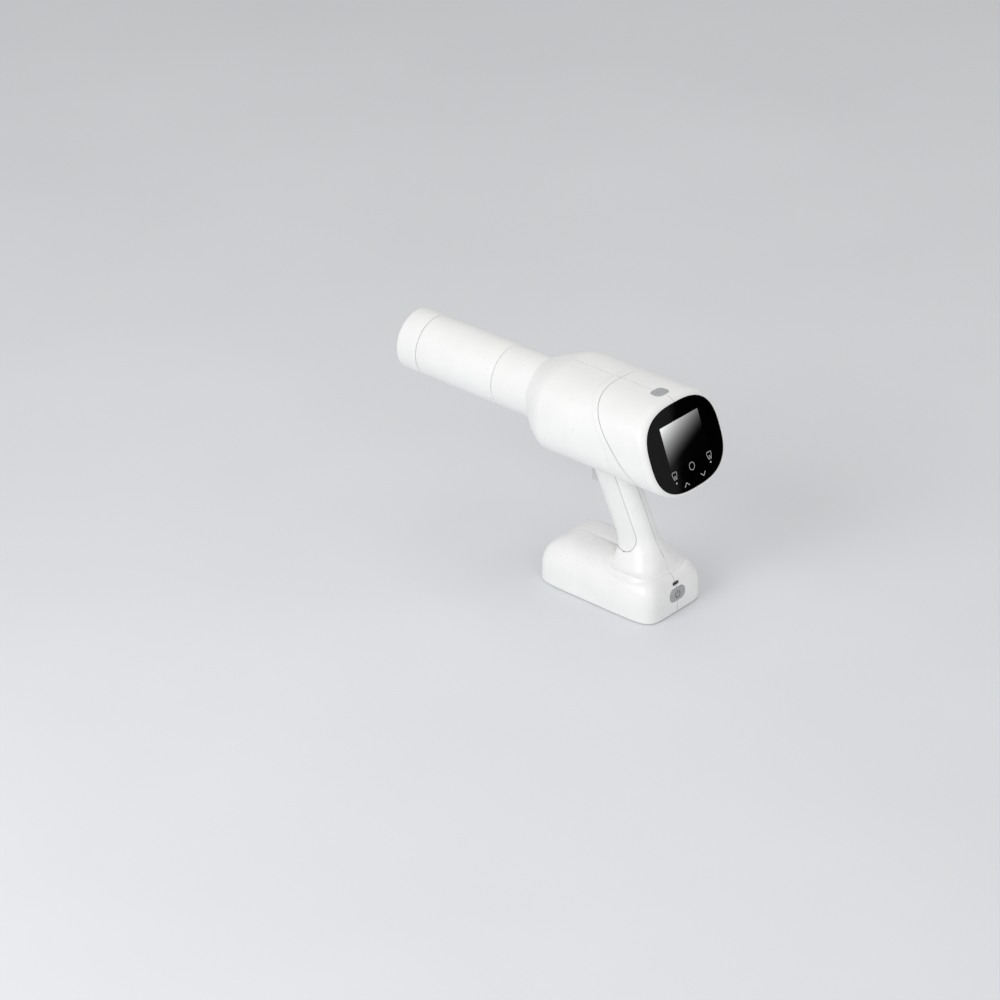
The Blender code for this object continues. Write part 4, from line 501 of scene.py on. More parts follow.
def split(x, a):
    """Draws a half section towards the mid-plane, leaving the parting."""
    made = PART + x*(1 - PART/a)
    made[..., 0] = PART
    made[..., -1] = PART
    return made


def drop(distance, radius):
    """How far a surface falls at a distance from an edge rounded to the radius."""
    inside = np.clip(radius - distance, 0, radius)
    return radius - np.sqrt(radius**2 - inside**2)


def ease(value, low, high):
    """0 under low, 1 over high, and a smooth step between."""
    share = np.clip((value - low)/(high - low), 0, 1)
    return share*share*(3 - 2*share)


def normals(grid, middle):
    """Unit normals of a grid that point away from the middle."""
    normal = np.cross(np.gradient(grid, axis=1), np.gradient(grid, axis=0))
    normal /= np.maximum(np.linalg.norm(normal, axis=-1, keepdims=True), 1e-12)
    away = np.sign(np.sum(normal*(grid - middle), axis=-1, keepdims=True))
    return normal*np.where(away == 0, 1, away)


def sink(grid, depth, middle):
    """Moves a grid inwards by depth along its own normals, and keeps its border columns in the parting plane."""
    made = grid - normals(grid, middle)*depth[..., None]
    made[:, 0, 0] = PART
    made[:, -1, 0] = PART
    return made


# Housing

def body_sizes(y):
    """Half width, half height and exponent of the body at y: the flare falls as 1 - t^1.4 to a circle."""
    t = np.clip((y - FLARE_START)/(FLARE_END - FLARE_START), 0, 1)
    g = 1 - t**FLARE_POWER
    return (FLARE_RADIUS + (BODY_A - FLARE_RADIUS)*g, FLARE_RADIUS + (BODY_B - FLARE_RADIUS)*g,
            2 + (BODY_N - 2)*g**FLARE_N_POWER)


def front_rows(w):
    """How far each row lies ahead of the slanted seam on the straight body, row by column, and the crease's own
    distance: it grows with the square of the depth under its top."""
    crease = CREASE_NEAR + CREASE_GROWTH*np.maximum(CREASE_TOP_Z - AXIS_Z - w, 0)**2
    reach = FLARE_START - SEAM_Y - HALF_GAP - w*SEAM_SLOPE
    rows = [np.full_like(w, d) for d in EDGE_LINES]
    near, far = crease - CREASE_SOFT, crease + CREASE_SOFT
    rows += [EDGE_LINES[-1] + (near - EDGE_LINES[-1])*k/6 for k in range(1, 6)]
    rows += [near + (far - near)*k/12 for k in range(13)]
    rows += [far + (reach - far)*k/28 for k in range(1, 29)]
    return np.array(rows), crease


def front_half():
    """Right half of the body from the slanted seam to the nose: ovals |x/a|^n + |w/b|^n = 1 swept along the beam,
    sunk at the seams and along the crease."""
    t = half_steps(BODY_A, BODY_B, BODY_N, SIDE_STEPS)
    x, w = oval(BODY_A, BODY_B, BODY_N, t)
    ahead, crease = front_rows(w)
    plane = SEAM_Y + HALF_GAP + w*SEAM_SLOPE
    straight = np.stack([np.broadcast_to(x, ahead.shape), plane + ahead, np.broadcast_to(w, ahead.shape)], -1)
    flare_y = np.concatenate([np.linspace(FLARE_START, FLARE_END - EDGE_LINES[-1], 44)[1:],
                              FLARE_END - EDGE_LINES[-2::-1]])
    a, b, n = (v[:, None] for v in body_sizes(flare_y))
    fx, fw = oval(a, b, n, t)
    flare = np.stack([fx, np.broadcast_to(flare_y[:, None], fx.shape), fw], -1)
    grid = np.concatenate([straight, flare])
    grid[..., 0] = split(grid[..., 0], BODY_A)
    grid[..., 2] += AXIS_Z
    tail = np.full(flare.shape[:2], FAR)
    seam = drop(np.concatenate([ahead*cos(SEAM_TILT), tail]), EDGE)
    front = drop(FLARE_END - grid[..., 1], EDGE)
    parting = drop(grid[..., 0] - PART, EDGE)
    step = ease(ahead, crease - CREASE_SOFT, crease + CREASE_SOFT/2)
    step = CREASE_STEP*step*(1 - ease(ahead, crease + CREASE_SOFT, crease + CREASE_FADE))
    depth = np.maximum(np.maximum(seam, front), parting) + np.concatenate([step, tail*0])
    middle = grid*(0, 1, 0) + (0, 0, AXIS_Z)
    made = sink(grid, depth, middle)
    made[0, :, 1] = SEAM_Y + HALF_GAP + (made[0, :, 2] - AXIS_Z)*SEAM_SLOPE
    made[-1, :, 1] = FLARE_END
    return made


def lean_y(z):
    """Middle of the leaning grip at z."""
    return GRIP_Y + (z - GRIP_Z)*GRIP_SLOPE


def grip_sizes(z):
    """Middle, half width, half depth and exponent of the grip's level section: the foot swells with a power of the
    depth under its top."""
    share = np.clip((FOOT_TOP - z)/(FOOT_TOP - FOOT_Z), 0, 1)**FOOT_POWER
    return (lean_y(z) + (FOOT_Y - lean_y(z))*share, GRIP_A + (FOOT_A - GRIP_A)*share,
            GRIP_B + (FOOT_B - GRIP_B)*share, GRIP_N + (FOOT_N - GRIP_N)*share)


def crown(x, y):
    """Height of the base's top over a point: halving finds how far in the point lies, and the shoulder's oval turns
    that into a height."""
    low, high = np.zeros_like(x), np.full_like(x, SHOULDER)
    for _ in range(40):
        drawn = (low + high)/2
        outside = np.abs(x/(BASE_A - drawn))**BASE_N + np.abs(y/(BASE_B - drawn))**BASE_N > 1
        low, high = np.where(outside, low, drawn), np.where(outside, drawn, high)
    up = (1 - (1 - low/SHOULDER)**SHOULDER_N)**(1/SHOULDER_N)
    return BASE_HEIGHT - SHOULDER + SHOULDER*up


def groove(x, y):
    """Depth of the soft groove round the foot's rim: a bell curve of the distance from a line just outside it."""
    ring = (np.abs(x/FOOT_A)**FOOT_N + np.abs((y - FOOT_Y)/FOOT_B)**FOOT_N)**(1/FOOT_N)
    return GROOVE_DEPTH*np.exp(-(((ring - 1)*FOOT_A - GROOVE_OUT)/GROOVE_REACH)**2)


def soft_higher(first, second, reach):
    """The higher of two heights, plus (reach - their distance)^2/(4 reach) where they are closer than the reach."""
    near = np.maximum(reach - np.abs(first - second), 0)
    return np.maximum(first, second) + near**2/(4*reach)


def grip_half():
    """Right half of the grip: level ovals stacked along its lean. Its foot dips by a sixth power into a level pad,
    whose rim falls with the square of the way out until it is under the base's top."""
    t = half_steps(GRIP_A, GRIP_B, GRIP_N, 72)
    level = np.concatenate([np.linspace(FOOT_Z, FOOT_TOP, 38)[:-1], np.linspace(FOOT_TOP, GRIP_TOP, 16)])
    out = np.concatenate([np.linspace(SKIRT, 0, 19)[:-1], 0*level])[:, None]
    level = np.concatenate([np.full(18, FOOT_Z), level])
    middle, a, b, n = (v[:, None] for v in grip_sizes(level))
    x, y = oval(a + out, b + out, n, t)
    y = middle + y
    foot = (FOOT_TOP - level[:, None]).clip(0)/(FOOT_TOP - FOOT_Z)
    dipped = level[:, None] - SKIRT_DIP*(foot**6 + out)
    pad = soft_higher(dipped, PAD_Z - PAD_FALL*out**2, PAD_BLEND)
    ground = crown(x, y) - 1.3*groove(x, y)
    z = soft_higher(pad, ground, CROWN_BLEND) - CROWN_SUNK*ease(ground - pad, 0.8*CROWN_BLEND, CROWN_BLEND)
    grid = np.stack([split(x, GRIP_A), y, z], -1)
    inside = np.stack([0*x, middle + 0*x, z - 10.0], -1)
    made = sink(grid, drop(grid[..., 0] - PART, EDGE), inside)
    made[-1, :, 2] = GRIP_TOP
    return np.concatenate([made[:1]*(1, 1, 0) + (0, 0, FOOT_LOW), made])


def shoulder(z, radius=SHOULDER):
    """How far the base's side is drawn in at z: a quarter of the oval of exponent 2.73 over the shoulder."""
    up = np.clip((z - BASE_HEIGHT + SHOULDER)/radius, 0, 1)
    return radius*(1 - (1 - up**SHOULDER_N)**(1/SHOULDER_N))


def base_half():
    """Right half of the base: level ovals of exponent 7 drawn in over the shoulder."""
    t = half_steps(BASE_A, BASE_B, BASE_N, SIDE_STEPS)
    angle = np.linspace(0, pi/2, 46)[1:]
    reach = (np.cos(angle)**SHOULDER_N + np.sin(angle)**SHOULDER_N)**(-1/SHOULDER_N)
    z = np.concatenate([RIM_Z + EDGE_LINES, np.linspace(2.6, BASE_HEIGHT - SHOULDER, 8),
                        BASE_HEIGHT - SHOULDER + SHOULDER*reach*np.sin(angle)])
    z[-1] = BASE_HEIGHT
    drawn = shoulder(z)[:, None]
    x, y = oval(BASE_A - drawn, BASE_B - drawn, BASE_N, t)
    grid = np.stack([split(x, BASE_A), y, np.broadcast_to(z[:, None], x.shape)], -1)
    inside = grid*(0, 0.8, 0) + (0, 0, 10.0)
    depth = np.maximum(drop(grid[..., 0] - PART, EDGE), drop(grid[..., 2] - RIM_Z, 2*EDGE)) + groove(x, y)
    made = sink(grid, depth, inside)
    made[0, :, 2] = RIM_Z
    return made


def body_hollow(back_shift):
    """The room in the front of the body: the flare, then the straight part back to the slanted seam."""
    rings = []
    for y, slope in ((NOSE_BACK, 0), (72.0, 0), (66.0, 0), (61.0, 0), (FLARE_START, 0),
                     (SEAM_Y - back_shift, SEAM_SLOPE)):
        a, b, n = body_sizes(np.float64(y))
        x, w = whole_oval(a - BODY_WALL, b - BODY_WALL, n, 72).T
        rings.append(np.column_stack([x, y + w*slope, AXIS_Z + w]))
    return loft("hollow", rings)


def grip_hollow():
    """The room in the grip, down into the base."""
    rings = []
    for z in (FOOT_LOW, 43.0, 49.0, 55.0, 61.0, 67.0, 74.0, GRIP_TOP):
        middle, a, b, n = grip_sizes(np.float64(z))
        rings.append(at_level(whole_oval(a - GRIP_WALL, b - GRIP_WALL, n, 48) + (0, middle), z))
    return loft("hollow", rings)


def base_hollow():
    """The room in the base."""
    rings = []
    for z in (RIM_Z - OVERRUN, 12.0, 20.0, 27.0, 33.0, 38.0, 42.0, 44.5, BASE_HEIGHT - BASE_WALL):
        drawn = BASE_WALL + float(shoulder(np.float64(z), SHOULDER - BASE_WALL))
        rings.append(at_level(whole_oval(BASE_A - drawn, BASE_B - drawn, BASE_N, 96), z))
    return loft("hollow", rings)


def housing_bosses():
    """What stands inside the housing: screw bosses, base posts, tank ribs and saddles, switch bosses."""
    made = screw_bosses(SHELL_SCREWS)
    low = RIM_Z + PLATE_THICKNESS + GAP
    for side in (-1, 1):
        made += [rod(BOSS, "Z", low, BASE_HEIGHT, (side*POST_X, y, 0), SMALL_STEPS) for y in (-POST_Y, POST_Y)]
        for span, bottom, top, places in ((RIB_SPAN, -RIB_HALF, RIB_HALF, RIB_PLACES),
                                          (SADDLE_SPAN, -BODY_B - OVERRUN, SADDLE_TOP, SADDLE_PLACES)):
            inner, outer = sorted(side*x for x in span)
            made += [block((inner, y, AXIS_Z + bottom), (outer, y + RIB_WALL, AXIS_Z + top)) for y in places]
    return made


def screw_bosses(places):
    """Rods through both walls, one round each screw."""
    return [rod(BOSS, "X", -BODY_A - OVERRUN, BODY_A + OVERRUN, (0, y, z), SMALL_STEPS) for y, z in places]


def cover_limit(z, grow):
    """How far behind the grip's middle the cover reaches at z: straight, then a quarter circle at the foot."""
    corner = np.clip(COVER_LOW + COVER_CORNER - z, 0, COVER_CORNER + grow)
    return COVER_CORNER - COVER_WRAP - np.sqrt((COVER_CORNER + grow)**2 - corner**2)


def cover_grid(grow, top, lines=EDGE_LINES):
    """Points of the grip's surface inside the cover's outline, their normals, and how far each lies from the edge."""
    span = np.concatenate([lines, np.linspace(1.4, 20, 26)[1:], np.linspace(20, 96, 14)[1:]])
    z = COVER_LOW - grow + span
    z = z[z < top]
    z = np.append(z, top)
    middle, a, b, n = (v[:, None] for v in grip_sizes(z))
    back = cover_limit(z[:, None], grow) + lean_y(z)[:, None] - middle
    side = a*(1 - np.abs(np.clip(back/b, -1, 1))**n)**(1/n)
    limit = np.arctan2(side, back)
    reach = np.hypot(side, back)
    right = limit - lines/reach
    between = right[:, -1:]*(1 - 2*np.linspace(0, 1, 44)[None, 1:-1])
    x, y = seen_at(a, b, n, np.concatenate([right, between, -right[:, ::-1]], 1))
    z = np.broadcast_to(z[:, None], x.shape)
    grid = np.stack([x, middle + y, z], -1)
    inside = np.stack([0*x, middle + 0*x, z], -1)
    offset = grid[..., 1] - lean_y(grid[..., 2])
    q = np.stack([COVER_CORNER - COVER_WRAP - offset, COVER_LOW + COVER_CORNER - grid[..., 2]], -1)
    inner = np.linalg.norm(np.maximum(q, 0), axis=-1)
    edge = np.where(q.min(-1) > 0, COVER_CORNER - inner,
                    np.minimum(offset + COVER_WRAP, grid[..., 2] - COVER_LOW))
    return grid, normals(grid, inside), edge


def cover_recess():
    """The cutter for the cover's seat: the cover's room grown by the gap."""
    grid, normal, _ = cover_grid(GAP, GRIP_TOP + OVERRUN/2, np.array(RECESS_LINES))
    return shaded(shell("cutter", grid + COVER_ROOM*normal, grid - (COVER_THICKNESS + GAP)*normal))


def trigger_slot():
    """The cutter for the trigger's slot."""
    half = TRIGGER_A + GAP
    return shaded(block((-half, TRIGGER_BACK - OVERRUN, TRIGGER_LOW - GAP),
                        (half, TRIGGER_FRONT + 2*OVERRUN, TRIGGER_HIGH + GAP)))


def screw_mouths(places):
    """Cutters for the bore and the wide mouth of each screw."""
    made = []
    for y, z in places:
        made.append(rod(SCREW_BORE, "X", SCREW_REACH, SCREW_SEAT + 1, (0, y, z), SMALL_STEPS))
        made.append(rod(SCREW_MOUTH, "X", SCREW_SEAT, BODY_A + OVERRUN, (0, y, z)))
    return made


def shade_partings(piece, side, ahead):
    """Paints gap shade on a piece's faces at the mid-plane, and at the slanted seam's plane moved ahead along the
    beam.
    """
    shade_gaps(piece, ((side*PART, 0, 0), (1, 0, 0), SHADE_THIN),
               ((0, SEAM_Y + ahead, AXIS_Z), (0, cos(SEAM_TILT), -sin(SEAM_TILT)), SHADE_WIDE))


def housing(side):
    """One half of the main moulding: body, grip and base in one, hollow, with its holes."""
    hand, turn = ("right" if side > 0 else "left"), (side, 1, 1)
    body = loft(f"housing_shell_{hand}", front_half()*turn, *SHELL_LOOKS)
    grip = carve(loft("grip", grip_half()*turn, *SHELL_LOOKS), [cover_recess()])
    carve(body, [grip, loft("base", base_half()*turn)], "UNION")
    hollow = carve(body_hollow(OVERRUN), [grip_hollow(), base_hollow()], "UNION")
    carve(hollow, housing_bosses())
    power = rounded_outline(POWER_A + GAP, POWER_B + GAP, POWER_CORNER + GAP, CORNER_STEPS)
    port = rounded_outline(PORT_A + GAP, PORT_B + GAP, PORT_B + GAP - 0.01, 8)
    nose = rod(COLLAR_RADIUS + GAP, "Y", NOSE_BACK - OVERRUN, FLARE_END + OVERRUN, (0, 0, AXIS_Z), ROUND_STEPS)
    # the cut faces of the nose and the power hole, like those of the trigger slot, take painted shade
    tools = [hollow, trigger_slot(), shaded(nose),
             shaded(prism(power, "Y", -BASE_B - OVERRUN, -BASE_B + OVERRUN, (0, 0, POWER_Z))),
             prism(port, "Y", -BASE_B - OVERRUN, PORT_END, (0, 0, PORT_Z))]
    carve(body, tools + screw_mouths(SHELL_SCREWS))
    shade_partings(body, side, HALF_GAP)
    return seat(body, f"housing_{hand}")


def grip_cover():
    """The cover round the front of the grip, its edge rounded, its top under the body."""
    grid, normal, edge = cover_grid(0, GRIP_TOP)
    x = np.clip(np.abs(grid[..., 0])/BODY_A, 0, 1)
    top = AXIS_Z - BODY_B*(1 - x**BODY_N)**(1/BODY_N) - GAP
    shift = np.clip((grid[..., 2] - COVER_FREE)/(GRIP_TOP - COVER_FREE), 0, 1)*(top - GRIP_TOP)
    grid = grid + np.stack([0*shift, shift*GRIP_SLOPE, shift], -1)
    outer = grid - drop(np.maximum(edge, 0), EDGE)[..., None]*normal
    # the cover's borders, along the gap round it, take painted shade
    made = shell("grip_cover", outer, grid - COVER_THICKNESS*normal, "cover_plastic", "gap_shade")
    carve(made, [trigger_slot()])
    return seat(made, "grip_front_cover")


# Rear of the body

def panel_place(flat, depth):
    """Points of the rear panel's plane, given across and up it, at a depth behind its face."""
    flat = np.asarray(flat, float)
    return np.stack([flat[..., 0], PANEL_Y + flat[..., 1]*sin(PANEL_TILT) + depth*cos(PANEL_TILT),
                     AXIS_Z + flat[..., 1]*cos(PANEL_TILT) - depth*sin(PANEL_TILT)], -1)


def panel_outline(inset, count=160):
    """The rear panel's oval, drawn in by the inset."""
    return whole_oval(BODY_A - inset, BODY_B/cos(PANEL_TILT) - inset, GLASS_N, count)


def rear_half():
    """Right half of the rear cover: the straight oval from the slanted seam to the rim, whose edge is a quarter
    ellipse in the panel's own tilt."""
    t = half_steps(BODY_A, BODY_B, BODY_N, SIDE_STEPS)
    x, w = oval(BODY_A, BODY_B, BODY_N, t)
    seam = SEAM_Y - HALF_GAP + w*SEAM_SLOPE
    rim = PANEL_Y + RIM_DEPTH/cos(PANEL_TILT) + w*tan(PANEL_TILT)
    rows = [np.stack([x, seam - d, w], -1) for d in EDGE_LINES]
    start = seam - EDGE_LINES[-1]
    rows += [np.stack([x, start + (rim - start)*k/16, w], -1) for k in range(1, 17)]
    for k in range(1, 19):
        angle = pi/2*k/18
        inset = RIM_INSET*(1 - cos(angle))
        rx, rw = oval(BODY_A - inset, BODY_B - inset*cos(PANEL_TILT), BODY_N, t)
        y = PANEL_Y + RIM_DEPTH*(1 - sin(angle))/cos(PANEL_TILT) + rw*tan(PANEL_TILT)
        rows.append(np.stack([rx, y, rw], -1))
    grid = np.array(rows)
    grid[..., 0] = split(grid[..., 0], BODY_A)
    grid[..., 2] += AXIS_Z
    back = seam[None, :] - grid[..., 1]
    back[len(EDGE_LINES):] = FAR
    depth = np.maximum(drop(np.maximum(back, 0)*cos(SEAM_TILT), EDGE), drop(grid[..., 0] - PART, EDGE))
    made = sink(grid, depth, grid*(0, 0.9, 0) + (0, 0, AXIS_Z))
    made[0, :, 1] = SEAM_Y - HALF_GAP + (made[0, :, 2] - AXIS_Z)*SEAM_SLOPE
    made[-1, :, 1] = PANEL_Y + (made[-1, :, 2] - AXIS_Z)*tan(PANEL_TILT)
    return made


def rear_hollow():
    """The room inside the rear cover, less its screw bosses and key posts."""
    x, w = whole_oval(BODY_A - BODY_WALL, BODY_B - BODY_WALL, BODY_N, 72).T
    deep = GLASS_THICKNESS + LEDGE_THICKNESS + HALF_GAP
    front = np.column_stack([x, SEAM_Y + OVERRUN + w*SEAM_SLOPE, AXIS_Z + w])
    back = np.column_stack([x, PANEL_Y + deep/cos(PANEL_TILT) + w*tan(PANEL_TILT), AXIS_Z + w])
    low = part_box("top_button_board")[1][2]/MM + GAP
    posts = [rod(BUTTON_POST, "Z", low, AXIS_Z + BODY_B, (side*BUTTON_POST_X, BUTTON_Y, 0), SMALL_STEPS)
             for side in (-1, 1)]
    return carve(loft("hollow", [front, back]), screw_bosses(REAR_SCREWS) + posts)


def rear_cover(side):
    """One half of the rear cover with the glass pocket, the ledge, the button's hole and the screw mouths."""
    hand = "right" if side > 0 else "left"
    cover = loft(f"rear_shell_{hand}", rear_half()*(side, 1, 1), *SHELL_LOOKS)
    pocket = GLASS_THICKNESS + HALF_GAP
    hole = rounded_outline(BUTTON_A + GAP, BUTTON_B + GAP, BUTTON_CORNER + GAP, CORNER_STEPS)
    top = AXIS_Z + BODY_B
    pockets = [loft("cutter", [panel_place(panel_outline(inset), depth) for depth in (-OVERRUN, end)])
               for inset, end in ((GLASS_INSET - GAP, pocket),
                                  (GLASS_INSET + LEDGE_WIDTH, pocket + LEDGE_THICKNESS + GAP))]
    # the button hole's cut faces take painted shade
    carve(cover, [rear_hollow(), *pockets,
                  shaded(prism(hole, "Z", top - 2*BODY_WALL, top + OVERRUN, (0, BUTTON_Y, 0))),
                  *screw_mouths(REAR_SCREWS)])
    shade_partings(cover, side, -HALF_GAP)
    return seat(cover, f"rear_cover_{hand}")


def cover_glass():
    """The black glass, its edge rounded, with the display area as a face of its own, the last."""
    lines = [(0, GLASS_THICKNESS), *((drop(depth, GLASS_EDGE), depth) for depth in EDGE_LINES[::-1]),
             (0.8, 0), (1.2, 0)]
    rings = [panel_place(panel_outline(GLASS_INSET + inset, ROUND_STEPS), depth) for inset, depth in lines]
    middle = (SCREEN_HIGH + SCREEN_LOW)/2
    screen = rounded_outline(SCREEN_A, (SCREEN_HIGH - SCREEN_LOW)/2, 0.8, ROUND_STEPS//4 - 1)[::-1]
    start = np.argmin(np.abs(np.arctan2(screen[:, 0], screen[:, 1])))
    rings.append(panel_place(np.roll(screen, -start, 0) + (0, middle), 0))
    made = loft("cover_glass", rings, "black_glass", "screen")
    made.data.polygons[-1].material_index = 1
    return seat(made, "display_glass")


def ribbon(name, path, width, closed, place, look):
    """A printed line: a low rectangular section of the width swept along a path."""
    path, count = np.asarray(path, float), len(path)
    along = np.roll(path, -1, 0) - np.roll(path, 1, 0) if closed else np.gradient(path, axis=0)
    along /= np.linalg.norm(along, axis=1, keepdims=True)
    side = np.column_stack([-along[:, 1], along[:, 0]])*width/2
    rings = np.stack([place(path + way*side, depth) for way, depth in (
        (1, INK_LOW), (1, INK_HIGH), (-1, INK_HIGH), (-1, INK_LOW))], 1)
    faces = grid_faces(count, 4, True, closed).tolist()
    if not closed:
        faces += [[0, 1, 2, 3], [4*count - 4, 4*count - 3, 4*count - 2, 4*count - 1]]
    return put(name, rings.reshape(-1, 3), faces, look)


def tooth_path(middle):
    """A tooth seen from the side: a crown with a dip and two roots."""
    right = np.array([(1.4, 3.6), (3.0, 3.0), (3.2, 1.0), (2.4, -1.4), (1.7, -3.6), (1.0, -3.4), (0.6, -0.8)])
    left = right[::-1]*(-1, 1)
    return smooth(np.concatenate([left[4:], [(0, 3.0)], right, [(0, -0.4)], left[:4]]), 6) + middle


def smooth(points, steps):
    """A closed curve through points, each span by the cubic of its four neighbours."""
    before, after, beyond = np.roll(points, 1, 0), np.roll(points, -1, 0), np.roll(points, -2, 0)
    share = np.linspace(0, 1, steps, endpoint=False)[None, :, None]
    p0, p1, p2, p3 = (p[:, None, :] for p in (before, points, after, beyond))
    curve = p1 + 0.5*share*(p2 - p0 + share*(2*p0 - 5*p1 + 4*p2 - p3 + share*(3*(p1 - p2) + p3 - p0)))
    return curve.reshape(-1, 2)


def panel_symbols():
    """Plain key symbols printed on the glass."""
    for name, path, width, closed in (
            ("start", circle(3.7, (0.7, -22.2)), 0.6, True),
            ("up", [(-15.8, -37.8), (-12.3, -34.4), (-8.8, -37.8)], 0.9, False),
            ("down", [(9.5, -33.4), (13.0, -36.9), (16.5, -33.4)], 0.9, False),
            ("tooth_left", tooth_path((-25.2, -22.4)), 0.6, True),
            ("dot_left", circle(0.5, (-25.3, -29.9)), 0.9, True),
            ("tooth_right", tooth_path((27.3, -21.6)), 0.6, True),
            ("dot_right", circle(0.5, (26.9, -28.3)), 0.9, True)):
        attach(ribbon(f"symbol_{name}", path, width, closed, panel_place, "print_grey"), "unit")


# Cone

def rounded_loop(corners):
    """A closed outline from corners (radius, y, rounding)."""
    corners = np.asarray(corners, float)
    points = []
    for before, here, after in zip(np.roll(corners, 1, 0), corners, np.roll(corners, -1, 0)):
        p, r = here[:2], here[2]
        if r == 0:
            points.append(p)
            continue
        u = (before[:2] - p)/np.linalg.norm(before[:2] - p)
        v = (after[:2] - p)/np.linalg.norm(after[:2] - p)
        middle = p + r*(u + v)
        for k in range(7):
            angle = pi/2*k/6
            points.append(middle - r*v*cos(angle) - r*u*sin(angle))
    return np.array(points)


def turned(name, node_name, corners, look, *gaps):
    """A closed outline turned round the beam axis, in place of its node; its faces at the y values of gaps take
    painted shade."""
    profile = rounded_loop(corners)
    angle = np.linspace(0, 2*pi, ROUND_STEPS, endpoint=False)[:, None]
    r, y = profile.T
    grid = np.stack([r*np.sin(angle), y + 0*angle, AXIS_Z + r*np.cos(angle)], -1)
    faces = grid_faces(ROUND_STEPS, len(profile), True, True).tolist()
    made = put(name, grid.reshape(-1, 3), faces, look)
    seat(shade_gaps(made, *(((0, y, 0), (0, 1, 0), SHADE_THIN) for y in gaps)), node_name)


def cone():
    """Collar, cone, lead liner and end ring, with rounded edges and painted shade at the gaps of their seams."""
    seat_y, socket, neck = COLLAR_BACK + SEAT_DEPTH, COLLAR_FRONT - SPIGOT_LENGTH, NOSE_BACK - GAP
    ring_back, tube_back, lip = CONE_TIP - RING_LENGTH, COLLAR_FRONT + GAP, CONE_TIP - LIP
    tube_front, spigot_back, step = ring_back - GAP, socket + GAP, tube_back + CONE_WALL
    bore, hole = CONE_RADIUS - CONE_WALL, SPIGOT_RADIUS + GAP
    outer, inner = bore - GAP, bore - GAP - LINER
    turned("cone_collar_turned", "cone_collar", (
        (FLANGE_RADIUS, COLLAR_BACK, 0), (FLANGE_RADIUS, neck, 0), (COLLAR_RADIUS, neck, 0),
        (COLLAR_RADIUS, COLLAR_FRONT, EDGE), (hole, COLLAR_FRONT, EDGE), (hole, socket, 0),
        (COLLAR_BORE, socket, 0), (COLLAR_BORE, seat_y, 0), (SEAT_RADIUS, seat_y, 0),
        (SEAT_RADIUS, COLLAR_BACK, 0)), "white_plastic", COLLAR_FRONT)
    turned("cone_tube_turned", "cone_tube", (
        (CONE_RADIUS, tube_front, EDGE), (bore, tube_front, 0), (bore, step, 0), (SPIGOT_BORE, step, 0),
        (SPIGOT_BORE, spigot_back, 0), (SPIGOT_RADIUS, spigot_back, 0), (SPIGOT_RADIUS, tube_back, 0),
        (CONE_RADIUS, tube_back, EDGE)), "white_plastic", tube_back, tube_front)
    turned("cone_liner_turned", "cone_liner", ((outer, step + GAP, 0), (outer, lip - GAP, 0),
                                               (inner, lip - GAP, 0.2), (inner, step + GAP, 0.2)), "lead")
    turned("cone_ring_turned", "cone_end_ring", (
        (CONE_RADIUS, ring_back, EDGE), (CONE_RADIUS, CONE_TIP, CONE_WALL/2), (LIP_BORE, CONE_TIP, CONE_WALL/2),
        (LIP_BORE, lip, 0.3), (bore, lip, 0), (bore, ring_back, 0)), "white_plastic", ring_back)


# Keys and triggers

def trigger_rows(z):
    """Front of the trigger at z: share^2 - share(1 - share) of its rake, with shallow level ribs."""
    share = (z - TRIGGER_LOW)/(TRIGGER_HIGH - TRIGGER_LOW)
    ends = ease(share, 0.08, 0.16)*(1 - ease(share, 0.84, 0.92))
    ribs = TRIGGER_RIB*(np.cos(2*pi*(z - TRIGGER_LOW)/TRIGGER_PITCH) - 1)*ends
    return TRIGGER_FRONT + TRIGGER_RAKE*(share**2 - share*(1 - share)) + ribs


def trigger():
    """The ribbed key: level outlines with round front corners, over the flange that keeps it in."""
    tall = TRIGGER_HIGH - TRIGGER_LOW
    ends = np.array((0, 0.1, 0.3, 0.6))
    z = TRIGGER_LOW + np.concatenate([ends, np.linspace(1.0, tall - 1.0, 145), tall - ends[::-1]])
    edge = drop(np.minimum(z - TRIGGER_LOW, TRIGGER_HIGH - z), TRIGGER_EDGE)
    angle = np.linspace(0, pi/2, 9)
    corner = TRIGGER_ROUND*np.column_stack([np.cos(angle) - 1, np.sin(angle) - 1])
    rings = []
    for level, inset, front in zip(z, edge, trigger_rows(z)):
        a, back = TRIGGER_A - inset, TRIGGER_BACK - GAP
        right = corner + (a, front - inset)
        rings.append(at_level(np.concatenate([[(a, back)], right, right[::-1]*(-1, 1), [(-a, back)]]), level))
    key = loft("trigger_key", rings, "light_key")
    low, high = TRIGGER_LOW + TRIGGER_LIP + TRIGGER_FLANGE_INSET, TRIGGER_HIGH - TRIGGER_FLANGE_INSET
    back, lean = TRIGGER_BACK - TRIGGER_FLANGE, (high - low)*GRIP_SLOPE
    side = np.array([(back, low), (TRIGGER_BACK, low), (TRIGGER_BACK + lean, high), (back, high)])
    carve(key, [prism(side, "X", -TRIGGER_FLANGE_A, TRIGGER_FLANGE_A)], "UNION")
    seat(key, "trigger", "trigger_body")


